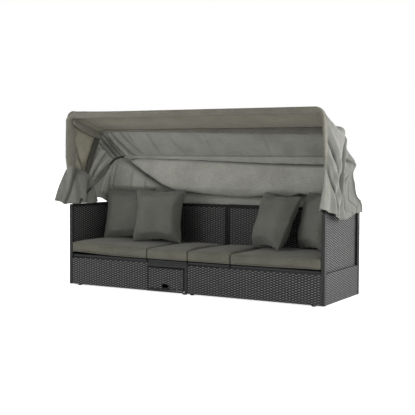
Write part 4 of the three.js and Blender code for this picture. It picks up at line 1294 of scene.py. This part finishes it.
def padShift(co, size, middle, node):
    x, y = 2 * co.x / size.x, 2 * co.y / size.y
    up = min(max(co.z / size.z + 0.5, 0), 1.2)
    riseLow, riseHigh = pad["endRise"].get(node, (0, 0))
    crown = pad["crown"] * max(0, 1 - x ** 4) * max(0, 1 - y ** 4) * up
    rise = riseLow * smoothStep(0.3, -1, x) + riseHigh * smoothStep(-0.3, 1, x)
    soft = pad["softness"] * noise.noise((co + middle) * 5.0) * (0.3 + 0.7 * up)
    return crown + rise * (0.72 + 0.28 * up) + soft * (1 if co.z > 0 else 0.5)


# a thin welt round the pad's top and bottom edge, laid on the shape that the pad has taken
def pipingMesh(name, laid, size):
    bm = bmesh.new()
    for level in (0.5, -0.5):
        stops = []
        for step in range(pad["pipingSteps"]):
            angle = 2 * math.pi * step / pad["pipingSteps"]
            away = Vector((math.cos(angle), math.sin(angle)))
            away *= min(size.x / 2 / max(abs(away.x), 1e-6), size.y / 2 / max(abs(away.y), 1e-6))
            x = min(max(away.x, -size.x / 2 + 0.001), size.x / 2 - 0.001)
            stops.append(laid(Vector((x, away.y, level * size.z))))
        last = first = None
        for here, following in zip(stops, stops[1:] + stops[:1]):
            along = (following - here).normalized()
            side = along.cross(Vector((0, 0, 1))).normalized()
            up = side.cross(along).normalized()
            ring = bmesh.ops.create_circle(bm, segments=6, radius=pad["piping"])["verts"]
            for vert in ring:
                vert.co = here + side * vert.co.x + up * vert.co.y
            last = bridgeRing(bm, ring, last)
            first = first or last
        bmesh.ops.bridge_loops(bm, edges=last + first)
    return meshFrom(name, bm)


def makePads():
    for node in ("left_wide_pad", "left_centre_pad", "right_centre_pad", "right_wide_pad"):
        low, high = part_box(node)
        high = Vector((high.x - pad["draw"], high.y - pad["draw"], low.z + pad["height"]))
        low = low + Vector((pad["draw"], -pad["forward"], pad["lift"]))
        low.x -= pad["outer"] if node == "left_wide_pad" else 0
        high.x += pad["outer"] if node == "right_wide_pad" else 0
        size, middle = high - low, (low + high) / 2
        piece = startCushion(node, padMesh(node, size), pad["sim"])
        tree = kdtree.KDTree(len(piece.data.vertices))
        for index, vert in enumerate(piece.data.vertices):
            vert.co.z = max(vert.co.z, -size.z / 2)
            vert.co.z += padShift(vert.co, size, middle, node)
            tree.insert(vert.co, index)
        tree.balance()

        def laid(stop):
            lifted = stop + Vector((0, 0, padShift(stop, size, middle, node)))
            return lifted.lerp(tree.find(lifted)[0], 0.35)

        name = node + "Piping"
        welt = finishPiece(name, pipingMesh(name, laid, size), "padCloth", "daybed")
        welt.data.transform(Matrix.Translation(middle))
        piece.data.transform(Matrix.Translation(middle))
        endCushion(node, piece, "padCloth")


makePads()
print("stage: pads filled")


# floor and soft studio light
studio = {
    "floor": (0.90, 0.90, 0.90, 1),
    "world": 0.72,
    "whiten": 0.75,
    "lights": {        # place, aim, size, power and spread in degrees
        "keyLight": ((4.6, 0.2, 1.3), (1.0, 0.0, 0.3), 2.2, 200, 180),
        "rimLight": ((3.6, 4.4, 1.5), (1.0, 0.0, 0.5), 3.2, 50, 180),
        "fillLight": ((-2.6, -5.2, 1.8), (-0.4, 0.0, 0.8), 3.0, 80, 180),
        "innerLight": ((2.4, -3.6, 1.5), (-0.98, -0.05, 1.0), 0.5, 0.8, 18),
    },
}


def makeFloor():
    bm = bmesh.new()
    bmesh.ops.create_grid(bm, x_segments=1, y_segments=1, size=30)
    floor = linked("floor", meshFrom("floor", bm))
    paint = bpy.data.materials.new("floorPaint")
    paint.use_nodes = True
    tree = paint.node_tree
    seen = addNode(tree, "ShaderNodeLightPath", (-600, -300)).outputs["Is Camera Ray"]
    glow = mathNode(tree, "MULTIPLY", seen, studio["whiten"], (-400, -300))
    feed(tree, tree.nodes["Principled BSDF"], {
        "Base Color": studio["floor"], "Roughness": 0.9,
        "Emission Color": (1, 1, 1, 1), "Emission Strength": glow,
    })
    floor.data.materials.append(paint)


def makeSky():
    world = bpy.data.worlds.new("studioWorld")
    world.use_nodes = True
    tree = world.node_tree
    straight = addNode(tree, "ShaderNodeLightPath", (-600, 0)).outputs["Is Camera Ray"]
    level = rangeNode(tree, straight, {"To Min": studio["world"]}, (-300, 0))    # the backdrop stays white
    feed(tree, tree.nodes["Background"], {"Color": (1, 1, 1, 1), "Strength": level})
    bpy.context.scene.world = world


def makeLight(name, place, aim, size, power, spread):
    data = bpy.data.lights.new(name, "AREA")
    data.size = size
    data.energy = power
    data.spread = math.radians(spread)
    turn = (Vector(aim) - Vector(place)).to_track_quat("-Z", "Y").to_matrix().to_4x4()
    linked(name, data).matrix_world = Matrix.Translation(place) @ turn


makeFloor()
makeSky()
for lightName, settings in studio["lights"].items():
    makeLight(lightName, *settings)
bpy.context.scene.view_settings.view_transform = "Standard"
print("stage: studio lit")
